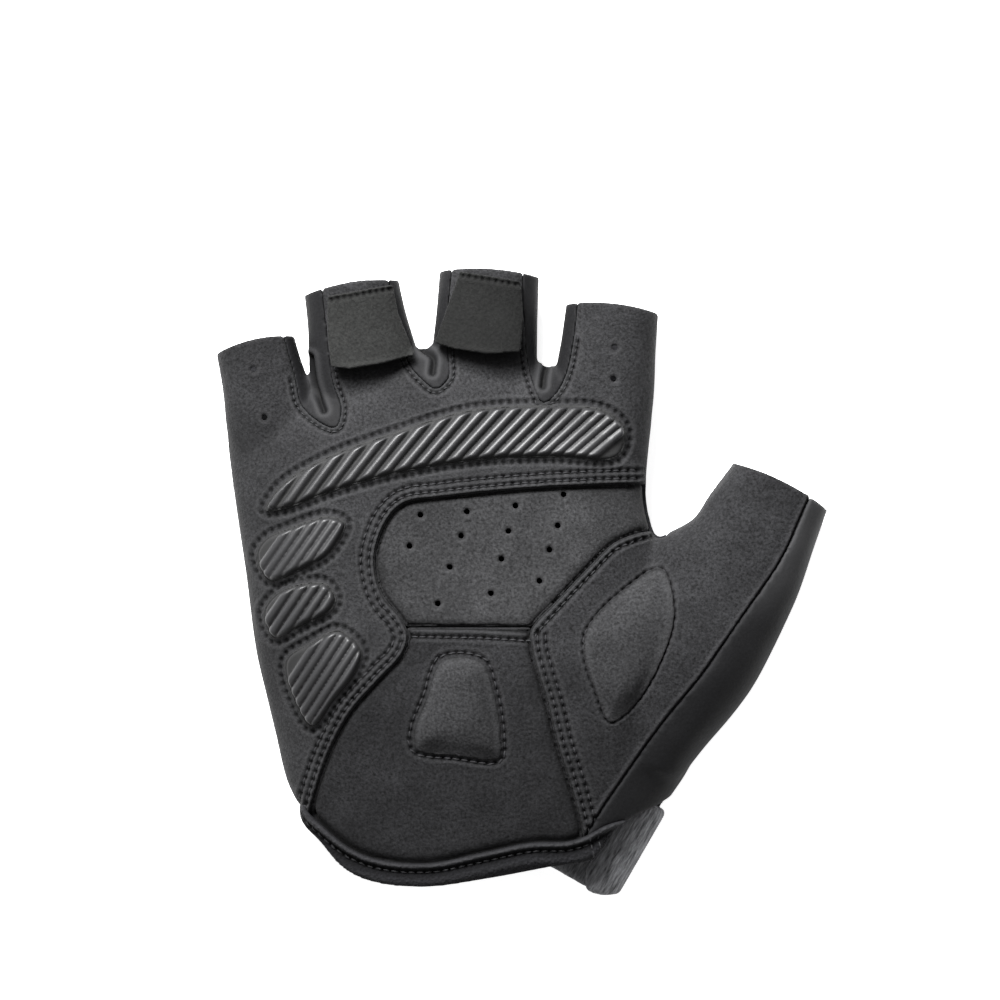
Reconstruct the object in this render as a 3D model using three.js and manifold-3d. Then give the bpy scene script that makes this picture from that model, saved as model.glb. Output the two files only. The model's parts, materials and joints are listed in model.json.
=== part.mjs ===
// A half-finger cycling glove for the right hand, lying on its back with the palm up.
// X runs across the palm towards the thumb, Y towards the fingertips and Z up out of the palm.
// Places on the palm are shares: u of the palm's breadth from its centre line, and v of the palm's
// length from the lowest edge of the cuff. Every other size is in millimetres.
import * as THREE from "three";
import { mergeVertices } from "three/addons/utils/BufferGeometryUtils.js";
import Module from "manifold-3d";

const wasm = await Module();
wasm.setup();

// The hand's own sizes
const PALM_BREADTH = 96.8;
const PALM_LENGTH = 125.3;
const PALM_DEPTH = 27;
const PALM_CUP = 2.5;
const THENAR_SWELL = 3.2;
const LITTLE_EDGE_SWELL = 1.5;
const STALL_TAIL = 26;
const THUMB_WIDTH = 23.2;
const THUMB_LENGTH = 72.5;
const THUMB_DEPTH = 20;
const THUMB_LEAN = 27;

// Walls of leather, knit and binding
const FINGER_PANEL_WALL = 2;
const PERFORATED_WALL = 1.2;
const PALM_WALL = 1.6;
const BACK_WALL = 1.5;
const STRETCH_WALL = 1.5;
const BINDING_WALL = 2.7;
const SEAM_GAP = 0.3;
const RIM_BOW = 1.1;
const SIDE_SEAM_HEIGHT = 10;
const FOURCHETTE_SEAM_HEIGHT = 5;

// What is laid on the leather
const PAD_BASE = 0.9;
const RIB_HEIGHT = 1.1;
const RIB_WIDTH = 1.5;
const HEEL_PAD_THICKNESS = 2.4;
const THENAR_PAD_THICKNESS = 2.2;
const PAD_SHOULDER = 1;
const TAB_THICKNESS = 1.2;
const TAB_LIFT = 0.9;
const TAB_HEM = 3;
const TAB_HEM_OVERRUN = 2;
const PERFORATION = 1.3;
const VENT = 1.7;
const RIB_REACH = 20;
const RIB_INSET = 0.45;

// The closing strap
const STRAP_THICKNESS = 1.8;
const STRAP_WIDTH = 25;
const STRAP_LENGTH = 60;
const STRAP_BEND = 6;
const STRAP_OVERHANG = 1.8;
const STRAP_HEADING = -30;
const STRAP_SWEEP = 38;
const STRAP_ROUNDING = 0.2;
const STRAP_CLEARANCE = 0.6;
const STRAP_ROOM_START = 1.2;
const STRAP_ROOM_END = 14;
const STRAP_TIP_ROOM = { from: -2.8, to: 2 };
const BACK_LIFT_ENDS = { from: 0.38, to: 0.47 };

const FINGERS = [
  { name: "little", u: -0.408, v: 0.861, width: 17.9, length: 19, depth: 15.5, lean: 13, flare: 1.2 },
  { name: "ring", u: -0.194, v: 1.0, width: 21.6, length: 14.6, depth: 17, lean: 9, flare: 1.15 },
  { name: "middle", u: 0.104, v: 0.976, width: 22.6, length: 20.6, depth: 18, lean: -3.5, flare: 1.06 },
  { name: "index", u: 0.396, v: 0.931, width: 21, length: 18.2, depth: 17.5, lean: -6, flare: 1.09 },
];

// Sections of a stall: at is the way from the rim (0) to the end hidden in the palm (1).
const STALL_SECTIONS = [
  { at: 0, spread: 0, deep: 1, lift: 0.13 },
  { at: 0.2, spread: 0.3, deep: 1.03, lift: 0.08 },
  { at: 0.42, spread: 1, deep: 1.08, lift: 0.02 },
  { at: 0.7, spread: 1, deep: 1.05, lift: 0 },
  { at: 1, spread: 0.5, deep: 0.9, lift: 0.03 },
];

// Sections of the thumb from its hidden base (0) to its rim (1); outer and inner are shares of half its
// width, deep of its depth.
const THUMB_SECTIONS = [
  { at: 0, outer: 0.8, inner: 0.95, deep: 1.02, lift: 0.04 },
  { at: 0.13, outer: 0.95, inner: 1.1, deep: 1.15, lift: 0.02 },
  { at: 0.27, outer: 1.16, inner: 1.3, deep: 1.24, lift: 0 },
  { at: 0.38, outer: 1.27, inner: 1.5, deep: 1.28, lift: 0 },
  { at: 0.5, outer: 1.29, inner: 1.68, deep: 1.26, lift: 0 },
  { at: 0.665, outer: 1.265, inner: 1.72, deep: 1.16, lift: 0.02 },
  { at: 0.72, outer: 1.24, inner: 1.5, deep: 1.12, lift: 0.03 },
  { at: 0.78, outer: 1.19, inner: 1.26, deep: 1.08, lift: 0.05 },
  { at: 0.86, outer: 1.11, inner: 1.21, deep: 1.04, lift: 0.08 },
  { at: 1, outer: 0.99, inner: 1.06, deep: 1, lift: 0.12 },
];

// Sections of the palm from the cuff (0) to the forks of the fingers (1), with its two edges as u.
const PALM_SECTIONS = [
  { at: 0, little: -0.326, thumb: 0.492, deep: 0.78 },
  { at: 0.055, little: -0.33, thumb: 0.53, deep: 0.83 },
  { at: 0.085, little: -0.366, thumb: 0.56, deep: 0.85 },
  { at: 0.116, little: -0.38, thumb: 0.59, deep: 0.87 },
  { at: 0.18, little: -0.394, thumb: 0.628, deep: 0.91 },
  { at: 0.28, little: -0.417, thumb: 0.625, deep: 0.96 },
  { at: 0.41, little: -0.446, thumb: 0.6, deep: 1 },
  { at: 0.6, little: -0.47, thumb: 0.545, deep: 0.99 },
  { at: 0.76, little: -0.493, thumb: 0.495, deep: 0.93 },
  { at: 0.88, little: -0.509, thumb: 0.5, deep: 0.84 },
  { at: 0.95, little: -0.516, thumb: 0.508, deep: 0.72 },
  { at: 0.985, little: -0.515, thumb: 0.505, deep: 0.6 },
  { at: 1, little: -0.505, thumb: 0.495, deep: 0.48 },
];
const WIDEST_LEVEL = 0.38;
const STALL_WIDEST_LEVEL = 0.5;
const THUMB_BASE = [0.487, 0.226];

// The cuff's lower edge and the line of the finger forks, as v at each u.
const CUFF_EDGE = [
  { at: -0.379, v: 0.158 },
  { at: -0.333, v: 0.116 },
  { at: -0.24, v: 0.036 },
  { at: -0.16, v: 0.006 },
  { at: -0.027, v: -0.002 },
  { at: 0.119, v: 0.013 },
  { at: 0.265, v: 0.034 },
  { at: 0.391, v: 0.051 },
  { at: 0.451, v: 0.09 },
  { at: 0.629, v: 0.158 },
];
const FORK_LINE = [
  { at: -0.524, v: 0.87 },
  { at: -0.31, v: 0.914 },
  { at: -0.043, v: 1.003 },
  { at: 0.253, v: 0.97 },
  { at: 0.512, v: 0.908 },
];

// Seam lines over the palm, each as [u, v] from one end to the other.
const SEAMS = {
  fingerPanel: [
    [0.7, 0.75], [0.386, 0.745], [0.192, 0.737], [-0.002, 0.722], [-0.087, 0.711], [-0.129, 0.679],
    [-0.158, 0.61], [-0.141, 0.544], [-0.095, 0.497], [-0.078, 0.465], [-0.092, 0.43], [-0.148, 0.383],
    [-0.216, 0.323], [-0.262, 0.259], [-0.294, 0.195], [-0.323, 0.111], [-0.37, -0.1],
  ],
  thenar: [
    [0.6, 1.3], [0.6, 0.73], [0.556, 0.672], [0.464, 0.653], [0.415, 0.636], [0.362, 0.597],
    [0.289, 0.538], [0.216, 0.475], [0.218, 0.443], [0.235, 0.392], [0.257, 0.336], [0.279, 0.266],
    [0.308, 0.195], [0.33, 0.135], [0.352, 0.054], [0.36, -0.1],
  ],
  thumbSide: [
    [0.96, 0.83], [0.886, 0.715], [0.823, 0.608], [0.714, 0.486], [0.629, 0.392], [0.544, 0.311],
    [0.464, 0.225], [0.376, 0.124], [0.337, 0.064], [0.32, -0.1],
  ],
  thumbBack: [
    [0.6, 1.3], [0.6, 0.73], [0.561, 0.668], [0.519, 0.608], [0.483, 0.495], [0.447, 0.345], [0.41, 0.214],
    [0.386, 0.083], [0.376, -0.1],
  ],
  binding: [
    [-0.6, 0.3], [-0.391, 0.195], [-0.335, 0.146], [-0.299, 0.118], [-0.221, 0.069], [-0.148, 0.047],
    [-0.027, 0.041], [0.095, 0.06], [0.216, 0.079], [0.301, 0.081], [0.345, 0.09], [0.4, 0.112],
    [0.46, 0.122], [0.54, 0.115], [0.8, 0.06],
  ],
};
const HEEL_SEAM_V = 0.481;

// Strips between the stalls: each runs down beside one stall, round the fork and up beside the next.
const FOURCHETTES = [
  {
    name: "fourchette_little_ring",
    line: [[-0.391, 1.049], [-0.355, 0.946], [-0.335, 0.89], [-0.255, 0.852], [-0.24, 0.886],
      [-0.26, 0.936], [-0.274, 1.021], [-0.289, 1.124]],
  },
  {
    name: "fourchette_ring_middle",
    line: [[-0.133, 1.148], [-0.114, 1.077], [-0.1, 1.015], [-0.078, 0.972], [-0.048, 0.944],
      [-0.012, 0.925], [0.019, 0.946], [0.019, 0.987], [0.015, 1.039], [0.029, 1.167]],
  },
  {
    name: "fourchette_middle_index",
    line: [[0.197, 1.156], [0.199, 1.077], [0.206, 0.987], [0.221, 0.936], [0.245, 0.9],
      [0.27, 0.908], [0.303, 0.952], [0.322, 1.02], [0.333, 1.099]],
  },
];

// Ribbed grips: slant and turn are the first rib's angle to X and how much the last one has turned.
const GRIPS = [
  {
    name: "grip_pad_knuckle", ribs: 21, slant: 55, turn: -15, from: [-0.405, 0.712], to: [0.43, 0.842],
    outline: [[-0.425, 0.698], [-0.391, 0.743], [-0.286, 0.795], [-0.107, 0.846], [0.066, 0.886],
      [0.245, 0.895], [0.398, 0.886], [0.449, 0.848], [0.427, 0.797], [0.272, 0.797], [0.102, 0.792],
      [-0.1, 0.767], [-0.252, 0.735], [-0.379, 0.7]],
  },
  {
    name: "grip_pad_side_upper", ribs: 6, slant: 55, turn: 0, from: [-0.425, 0.6], to: [-0.245, 0.66],
    outline: [[-0.447, 0.615], [-0.425, 0.645], [-0.362, 0.668], [-0.269, 0.689], [-0.228, 0.675],
      [-0.25, 0.634], [-0.274, 0.612], [-0.33, 0.589], [-0.415, 0.565]],
  },
  {
    name: "grip_pad_side_middle", ribs: 5, slant: 56, turn: 0, from: [-0.41, 0.5], to: [-0.265, 0.535],
    outline: [[-0.43, 0.507], [-0.4, 0.542], [-0.337, 0.563], [-0.274, 0.563], [-0.25, 0.533],
      [-0.265, 0.51], [-0.335, 0.482], [-0.403, 0.458]],
  },
  {
    name: "grip_pad_side_lower", ribs: 6, slant: 57, turn: 0, from: [-0.365, 0.375], to: [-0.2, 0.42],
    outline: [[-0.376, 0.418], [-0.313, 0.454], [-0.245, 0.477], [-0.187, 0.439], [-0.204, 0.394],
      [-0.25, 0.349], [-0.311, 0.293], [-0.354, 0.34]],
  },
];
const HEEL_PAD_OUTLINE = [[0.0, 0.422], [0.1, 0.42], [0.129, 0.368], [0.148, 0.28], [0.141, 0.236],
  [0.034, 0.24], [-0.063, 0.253], [-0.068, 0.289], [-0.039, 0.349]];
const THENAR_PAD_OUTLINE = [[0.534, 0.593], [0.444, 0.557], [0.345, 0.475], [0.342, 0.422],
  [0.371, 0.356], [0.405, 0.302], [0.466, 0.332], [0.532, 0.417], [0.566, 0.51]];

// Flaps on two stalls: the first two points are the sewn edge at the rim.
const TABS = [
  {
    name: "pull_tab_ring",
    outline: [[-0.274, 1.098], [-0.117, 1.12], [-0.104, 1.068], [-0.063, 0.989], [-0.141, 0.972],
      [-0.221, 0.962], [-0.265, 0.966], [-0.274, 1.03]],
  },
  {
    name: "pull_tab_middle",
    outline: [[0.046, 1.144], [0.192, 1.126], [0.199, 1.058], [0.192, 0.994], [0.112, 0.989],
      [0.029, 1.0], [-0.015, 1.011], [0.015, 1.077]],
  },
];

const PERFORATIONS = [[-0.049, 0.69], [-0.075, 0.632], [0.063, 0.696], [0.049, 0.651], [0.022, 0.593],
  [-0.007, 0.525], [0.18, 0.707], [0.163, 0.66], [0.146, 0.608], [0.121, 0.544], [0.296, 0.728],
  [0.282, 0.67], [0.262, 0.625], [0.238, 0.567]];
const VENTS = [[-0.454, 0.962], [-0.427, 0.872], [0.42, 1.002], [0.417, 0.944]];

// The notch in the palm side of the cuff, beside the strap's end, and the strap's place.
const CUFF_NOTCH = [[0.335, -0.1], [0.335, 0.094], [0.362, 0.114], [0.427, 0.139], [0.5, 0.15],
  [0.75, 0.15], [0.75, -0.1]];
const STRAP_PLACE = [0.398, 0.083];
const STRAP_END_SHARES = [1, 0.92, 0.6];
const STRAP_TIP_SHARE = 0.85;

// Where the blocks that part the panels end: well outside the glove on every side, as shares.
const OUT = 1.5;
const STRIP_OVERRUN = 0.2;
const BELOW = -0.5;
const ABOVE = 2;

// Soft swells and hollows of the palm: centre, reach as a share of the breadth, and height.
const SWELLS = [
  { u: 0.063, v: 0.6, reach: 0.26, height: -PALM_CUP },
  { u: 0.45, v: 0.44, reach: 0.27, height: THENAR_SWELL },
  { u: -0.34, v: 0.46, reach: 0.24, height: LITTLE_EDGE_SWELL },
];

// How finely the forms are cut into faces
const PALM_SIDES = 28;
const PALM_ROWS = 12;
const STALL_SIDES = 14;
const THUMB_SIDES = 18;
const HOLE_SIDES = 6;
const STRAP_STEPS = 8;
const BEND_STEPS = 8;
const ROUNDED_TOP = 2.5;
const ROUNDED_BOTTOM = 3;
const BOTTOM_FULLNESS = 1.15;
const SWELL_FALL = 1.4;
const GROUND = -1;
const TALL = 60;
const PAST_MOUTH = 4;
const SPECK = 1;

const mm = ([u, v]) => new THREE.Vector2(u * PALM_BREADTH, v * PALM_LENGTH);
const plan = (...places) => places.map(mm);
const radians = THREE.MathUtils.degToRad;

// Smooth value of one column of a table at a place between its rows.
function smoothColumn(table, column) {
  const last = table.length - 1;
  const slope = (k) => {
    const before = table[Math.max(k - 1, 0)];
    const after = table[Math.min(k + 1, last)];
    return (after[column] - before[column]) / (after.at - before.at);
  };
  return (at) => {
    if (at <= table[0].at) return table[0][column];
    if (at >= table[last].at) return table[last][column];
    let i = 0;
    while (table[i + 1].at < at) i += 1;
    const span = table[i + 1].at - table[i].at;
    const t = (at - table[i].at) / span;
    const rise = table[i + 1][column] - table[i][column];
    const bend = (1 - t) * (slope(i) * span - rise) - t * (slope(i + 1) * span - rise);
    return table[i][column] + rise * t + t * (1 - t) * bend;
  };
}

const cuffEdge = smoothColumn(CUFF_EDGE, "v");
const forkLine = smoothColumn(FORK_LINE, "v");

// The strap lies under the wrist, so the back stands off the ground there by its thickness.
function groundAt(y) {
  const clear = STRAP_THICKNESS + SEAM_GAP;
  const share = THREE.MathUtils.smoothstep(y / PALM_LENGTH, BACK_LIFT_ENDS.from, BACK_LIFT_ENDS.to);
  return clear * (1 - share);
}

// How far the palm's face is pressed in or swells out at a place.
function swellAt(x, y) {
  let sum = 0;
  for (const { u, v, reach, height } of SWELLS) {
    const centre = mm([u, v]);
    const away = Math.hypot(x - centre.x, y - centre.y) / (reach * PALM_BREADTH);
    sum += height * Math.exp(-away * away * SWELL_FALL);
  }
  return sum;
}

// One closed surface through rings of points of equal count, closed by a fan at each end.
function loft(rings) {
  const sides = rings[0].length;
  const points = rings.flat();
  const faces = [];
  for (let r = 0; r + 1 < rings.length; r += 1) {
    for (let k = 0; k < sides; k += 1) {
      const a = r * sides + k;
      const b = r * sides + ((k + 1) % sides);
      faces.push(a, b, b + sides, a, b + sides, a + sides);
    }
  }
  for (const [first, turned] of [[0, true], [(rings.length - 1) * sides, false]]) {
    const centre = new THREE.Vector3();
    for (let k = 0; k < sides; k += 1) centre.addScaledVector(points[first + k], 1 / sides);
    points.push(centre);
    for (let k = 0; k < sides; k += 1) {
      const a = first + k;
      const b = first + ((k + 1) % sides);
      faces.push(points.length - 1, turned ? b : a, turned ? a : b);
    }
  }
  return solid(points.flatMap((p) => [p.x, p.y, p.z]), faces);
}

// A manifold solid from coordinates and faces, turned right side out.
function solid(coordinates, faces) {
  const make = (triVerts) => new wasm.Manifold(new wasm.Mesh({
    numProp: 3,
    vertProperties: Float32Array.from(coordinates),
    triVerts: Uint32Array.from(triVerts),
  }));
  const made = make(faces);
  return made.volume() > 0 ? made : make(faces.slice().reverse());
}

// A manifold solid from a three.js geometry.
function solidOf(geometry) {
  const bare = geometry.clone();
  bare.deleteAttribute("normal");
  bare.deleteAttribute("uv");
  const merged = mergeVertices(bare, 1e-4);
  return solid(Array.from(merged.attributes.position.array), Array.from(merged.index.array));
}

// One cross-section: x outwards along `across`, flat underneath where it meets the ground.
function section({ centre, across, left, right, top, low, level, sides, skin, lining, outer }) {
  const widest = low + (top - low) * level;
  const ring = [];
  for (let k = 0; k < sides; k += 1) {
    const angle = (2 * Math.PI * k) / sides;
    const c = Math.cos(angle);
    const s = Math.sin(angle);
    const power = 2 / (s >= 0 ? ROUNDED_TOP : ROUNDED_BOTTOM);
    const out = Math.sign(c) * Math.abs(c) ** power * ((c >= 0 ? right : left) + skin);
    const x = centre.x + across.x * out;
    const y = centre.y + across.y * out;
    const rise = Math.abs(s) ** power;
    let z = widest + rise * (top - widest + skin);
    if (s >= 0) z += rise * swellAt(x, y);
    if (s < 0) z = widest - rise * ((widest - low) * BOTTOM_FULLNESS + skin);
    const ground = Math.max(low, groundAt(y)) + (outer ? 0 : lining);
    ring.push(new THREE.Vector3(x, y, Math.max(z, ground)));
  }
  return ring;
}

// A rim's ring, its middle drawn forward in a shallow bow.
function bowed(ring, up, across, half) {
  const middle = ring.reduce((sum, p) => sum + p.x * across.x + p.y * across.y, 0) / ring.length;
  for (const p of ring) {
    const away = (p.x * across.x + p.y * across.y - middle) / half;
    const forward = RIM_BOW * Math.max(1 - away * away, 0);
    p.x += up.x * forward;
    p.y += up.y * forward;
  }
  return ring;
}

// The palm between the cuff and the forks; a negative skin gives its hollow.
function palmForm({ skin, lining, outer }) {
  const column = (name) => smoothColumn(PALM_SECTIONS, name);
  const [little, thumb, deep] = ["little", "thumb", "deep"].map(column);
  const rings = [];
  for (let k = 0; k <= PALM_ROWS; k += 1) {
    const at = (1 - Math.cos((Math.PI * k) / PALM_ROWS)) / 2;
    const [a, b] = [little(at), thumb(at)];
    const half = ((b - a) * PALM_BREADTH) / 2;
    const ring = section({
      centre: new THREE.Vector2(((a + b) * PALM_BREADTH) / 2, at * PALM_LENGTH),
      across: new THREE.Vector2(1, 0),
      left: half,
      right: half,
      top: deep(at) * PALM_DEPTH,
      low: 0,
      level: WIDEST_LEVEL,
      sides: PALM_SIDES,
      skin,
      lining,
      outer,
    });
    for (const p of ring) {
      const near = cuffEdge(p.x / PALM_BREADTH) * PALM_LENGTH - (outer ? 0 : PAST_MOUTH);
      const far = forkLine(p.x / PALM_BREADTH) * PALM_LENGTH + skin;
      p.y = THREE.MathUtils.lerp(near, far, at);
    }
    rings.push(ring);
  }
  return loft(rings);
}

// One finger stall, from beyond its rim to its tail in the palm.
function stallForm({ u, v, width, length, depth, lean, flare }, { skin, lining, outer }) {
  const column = (name) => smoothColumn(STALL_SECTIONS, name);
  const [spread, deep, lift] = ["spread", "deep", "lift"].map(column);
  const up = new THREE.Vector2(-Math.sin(radians(lean)), Math.cos(radians(lean)));
  const across = new THREE.Vector2(up.y, -up.x);
  const rim = mm([u, v]).addScaledVector(up, length);
  const whole = length + STALL_TAIL + skin;
  const places = outer ? [] : [-PAST_MOUTH / whole];
  places.push(...STALL_SECTIONS.map(({ at }) => at));
  return loft(places.map((at) => {
    const half = (width / 2) * (1 + (flare - 1) * spread(at));
    const low = lift(at) * depth;
    const ring = section({
      centre: rim.clone().addScaledVector(up, -at * whole),
      across,
      left: half,
      right: half,
      top: low + deep(at) * depth,
      low,
      level: STALL_WIDEST_LEVEL,
      sides: STALL_SIDES,
      skin,
      lining,
      outer,
    });
    return at === 0 ? bowed(ring, up, across, half) : ring;
  }));
}

const thumbUp = new THREE.Vector2(Math.sin(radians(THUMB_LEAN)), Math.cos(radians(THUMB_LEAN)));
const thumbAcross = new THREE.Vector2(thumbUp.y, -thumbUp.x);

// The thumb, leaning out of the palm.
function thumbForm({ skin, lining, outer }) {
  const column = (name) => smoothColumn(THUMB_SECTIONS, name);
  const [wide, narrow, deep, lift] = ["outer", "inner", "deep", "lift"].map(column);
  const base = mm(THUMB_BASE);
  const places = THUMB_SECTIONS.map(({ at }) => at);
  if (!outer) places.push(1 + PAST_MOUTH / THUMB_LENGTH);
  return loft(places.map((at, k) => {
    const inset = k === 0 ? -skin : 0;
    const low = lift(at) * THUMB_DEPTH;
    const ring = section({
      centre: base.clone().addScaledVector(thumbUp, at * THUMB_LENGTH + inset),
      across: thumbAcross,
      left: (narrow(at) * THUMB_WIDTH) / 2,
      right: (wide(at) * THUMB_WIDTH) / 2,
      top: low + deep(at) * THUMB_DEPTH,
      low,
      level: STALL_WIDEST_LEVEL,
      sides: THUMB_SIDES,
      skin,
      lining,
      outer,
    });
    return at === 1 ? bowed(ring, thumbUp, thumbAcross, THUMB_WIDTH / 2) : ring;
  }));
}

// The whole hand, its outside raised by `skin` over the finger panel's face, or its hollow.
function handForm(options) {
  return FINGERS.map((finger) => stallForm(finger, options))
    .reduce((whole, stall) => whole.add(stall), palmForm(options).add(thumbForm(options)));
}

const forms = new Map();
function outside(skin) {
  if (!forms.has(skin)) forms.set(skin, handForm({ skin, lining: 0, outer: true }));
  return forms.get(skin);
}
const hollow = handForm({ skin: -FINGER_PANEL_WALL, lining: BACK_WALL, outer: false });
const walled = (wall) => outside(wall - FINGER_PANEL_WALL).subtract(hollow);
const layer = (from, to) => outside(to).subtract(outside(from));

// A straight-sided block over an outline in the plane, between two heights.
function block(outline, from = GROUND, to = TALL) {
  const shape = new THREE.Shape(outline);
  const geometry = new THREE.ExtrudeGeometry(shape, { depth: to - from, bevelEnabled: false });
  geometry.translate(0, 0, from);
  return solidOf(geometry);
}

// Points of a smooth curve through the given ones; a closed one comes back to its start.
function smoothLine(points, closed, perSpan = 1) {
  const curve = new THREE.CatmullRomCurve3(points.map(({ x, y }) => new THREE.Vector3(x, y, 0)), closed);
  const spans = closed ? points.length : points.length - 1;
  const line = curve.getPoints(spans * perSpan).map(({ x, y }) => new THREE.Vector2(x, y));
  if (closed) line.pop();
  return line;
}

// The outline moved sideways; a positive distance lies to the right of its run.
function beside(line, distance, closed = false) {
  const count = line.length;
  return line.map((p, i) => {
    const before = line[closed ? (i + count - 1) % count : Math.max(i - 1, 0)];
    const after = line[closed ? (i + 1) % count : Math.min(i + 1, count - 1)];
    const way = after.clone().sub(before).normalize();
    return new THREE.Vector2(p.x + way.y * distance, p.y - way.x * distance);
  });
}

// The narrow cut that parts two panels along a seam.
function kerf(line, from = GROUND, to = TALL) {
  const half = SEAM_GAP / 2;
  return block([...beside(line, half), ...beside(line, -half).reverse()], from, to);
}

function cylinder(place, diameter, from, to) {
  const geometry = new THREE.CylinderGeometry(diameter / 2, diameter / 2, to - from, HOLE_SIDES);
  geometry.rotateX(Math.PI / 2);
  geometry.translate(place.x, place.y, (from + to) / 2);
  return solidOf(geometry);
}

const together = (pieces) => pieces.reduce((sum, piece) => sum.add(piece));

// Seams as curves, and the ground on one side of each
const seamLine = Object.fromEntries(
  Object.entries(SEAMS).map(([name, points]) => [name, smoothLine(points.map(mm), false)]),
);
const past = (name, ...places) => block([...seamLine[name], ...plan(...places)]);
const fingerSide = past("fingerPanel", [-OUT, -0.1], [-OUT, ABOVE], [0.7, ABOVE]);
const thenarSide = past("thenar", [OUT, -0.1], [OUT, 1.3]);
const thumbSide = past("thumbSide", [OUT, -0.1], [OUT, 0.83]);
const thumbBackSide = past("thumbBack", [OUT, -0.1], [OUT, 1.3]);
const cuffSide = past("binding", [0.8, BELOW], [-0.6, BELOW]);

// A ground right across the glove between two shares of the palm's length, moved by half a seam.
function band(from, to, nudge) {
  const outline = plan([-OUT, from], [OUT, from], [OUT, to], [-OUT, to]);
  return outline.map((p) => p.setY(p.y + (nudge * SEAM_GAP) / 2));
}
const everywhere = band(BELOW, ABOVE, 0);
const aboveHeel = block(band(HEEL_SEAM_V, ABOVE, 1));
const belowHeel = block(band(BELOW, HEEL_SEAM_V, -1));
const palmHalf = block(everywhere, SIDE_SEAM_HEIGHT + SEAM_GAP / 2);
const backHalf = block(everywhere, GROUND, SIDE_SEAM_HEIGHT - SEAM_GAP / 2);

const frontSeams = together([
  kerf(seamLine.fingerPanel, SIDE_SEAM_HEIGHT - SEAM_GAP),
  kerf(seamLine.thenar, SIDE_SEAM_HEIGHT - SEAM_GAP),
]);
const thumbSeam = kerf(seamLine.thumbSide, SIDE_SEAM_HEIGHT - SEAM_GAP);
const bindingSeam = kerf(seamLine.binding);

// The strips' own ground, from their lower seam up
const strips = FOURCHETTES.map(({ name, line }) => {
  const run = smoothLine(line.map(mm), false);
  const [first, last] = [line[0], line[line.length - 1]];
  const above = ([u, v]) => mm([u, v + STRIP_OVERRUN]);
  const around = [above(first), ...run, above(last)];
  return {
    name,
    ground: block(around, FOURCHETTE_SEAM_HEIGHT + SEAM_GAP / 2),
    kept: block(around, FOURCHETTE_SEAM_HEIGHT - SEAM_GAP / 2),
    cut: kerf(around, FOURCHETTE_SEAM_HEIGHT - SEAM_GAP / 2),
  };
});
const stripGround = together(strips.flatMap(({ kept, cut }) => [kept, cut]));

// The strap's frame: `over` points out past the thumb side of the cuff, `down` along its width.
const over = new THREE.Vector2(Math.cos(radians(STRAP_HEADING)), Math.sin(radians(STRAP_HEADING)));
const down = new THREE.Vector2(over.y, -over.x);
const bendPlace = mm(STRAP_PLACE);
const onStrap = (out, along) => bendPlace.clone().addScaledVector(over, out).addScaledVector(down, along);

// The strap: flat under the back of the wrist from its round end, then bent up round the thumb side.
function strap() {
  const outerRadius = STRAP_BEND + STRAP_THICKNESS;
  const half = STRAP_WIDTH / 2;
  const rings = [];
  const place = onStrap(0, 0);
  for (let k = 0; k <= STRAP_STEPS; k += 1) {
    const way = radians(STRAP_HEADING + 180 + (STRAP_SWEEP * k) / STRAP_STEPS);
    const reach = half * STRAP_END_SHARES[Math.max(STRAP_END_SHARES.length - 1 - STRAP_STEPS + k, 0)];
    const near = new THREE.Vector3(place.x + Math.sin(way) * reach, place.y - Math.cos(way) * reach, 0);
    const far = new THREE.Vector3(place.x - Math.sin(way) * reach, place.y + Math.cos(way) * reach, 0);
    const [nearTop, farTop] = [near, far].map((p) => p.clone().setZ(STRAP_THICKNESS));
    rings.unshift([far, near, nearTop, farTop]);
    place.x += (Math.cos(way) * STRAP_LENGTH) / STRAP_STEPS;
    place.y += (Math.sin(way) * STRAP_LENGTH) / STRAP_STEPS;
  }
  const bendRing = (out, inOut, low, high) => {
    const rounding = STRAP_ROUNDING * Math.max(out / outerRadius, 0) ** 3;
    const reach = out < 0 ? half * STRAP_TIP_SHARE : half * (1 - rounding);
    const at = (way, along, z) => new THREE.Vector3(onStrap(way, along).x, onStrap(way, along).y, z);
    return [at(out, reach, low), at(out, -half, low), at(inOut, -half, high), at(inOut, reach, high)];
  };
  for (let k = 1; k <= BEND_STEPS; k += 1) {
    const angle = Math.PI * (k / BEND_STEPS - 0.5);
    const [c, s] = [Math.cos(angle), Math.sin(angle)];
    const [low, high] = [outerRadius * (1 + s), outerRadius + STRAP_BEND * s];
    rings.push(bendRing(outerRadius * c, STRAP_BEND * c, low, high));
  }
  const top = 2 * outerRadius;
  rings.push(bendRing(-STRAP_OVERHANG, -STRAP_OVERHANG, top, top - STRAP_THICKNESS));
  return loft(rings);
}

// Room for the strap's bend at the thumb corner of the cuff, and for its end over the palm side.
function roomBeside(from, to, low) {
  const near = -STRAP_WIDTH / 2 - STRAP_CLEARANCE;
  const places = [[from, near], [to, near], [to, STRAP_WIDTH], [from, STRAP_WIDTH]];
  return block(places.map(([out, along]) => onStrap(out, along)), low);
}
const bendRoom = roomBeside(STRAP_ROOM_START, STRAP_ROOM_END, GROUND);
const endRoom = roomBeside(STRAP_TIP_ROOM.from, STRAP_TIP_ROOM.to, 2 * STRAP_THICKNESS + BACK_WALL);
const notch = block(CUFF_NOTCH.map(mm), SIDE_SEAM_HEIGHT - SEAM_GAP);
const strapRoom = bendRoom.add(endRoom).add(notch);

// A panel's wall cut down to its own ground.
const uncuffed = (wall) => walled(wall).subtract(cuffSide).subtract(bindingSeam).subtract(strapRoom);
const front = (wall) => uncuffed(wall).intersect(palmHalf).subtract(frontSeams);

const holes = together(PERFORATIONS.map((p) => cylinder(mm(p), PERFORATION, SIDE_SEAM_HEIGHT, TALL)));
const vents = together(VENTS.map((p) => cylinder(mm(p), VENT, SIDE_SEAM_HEIGHT, TALL)));

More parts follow.
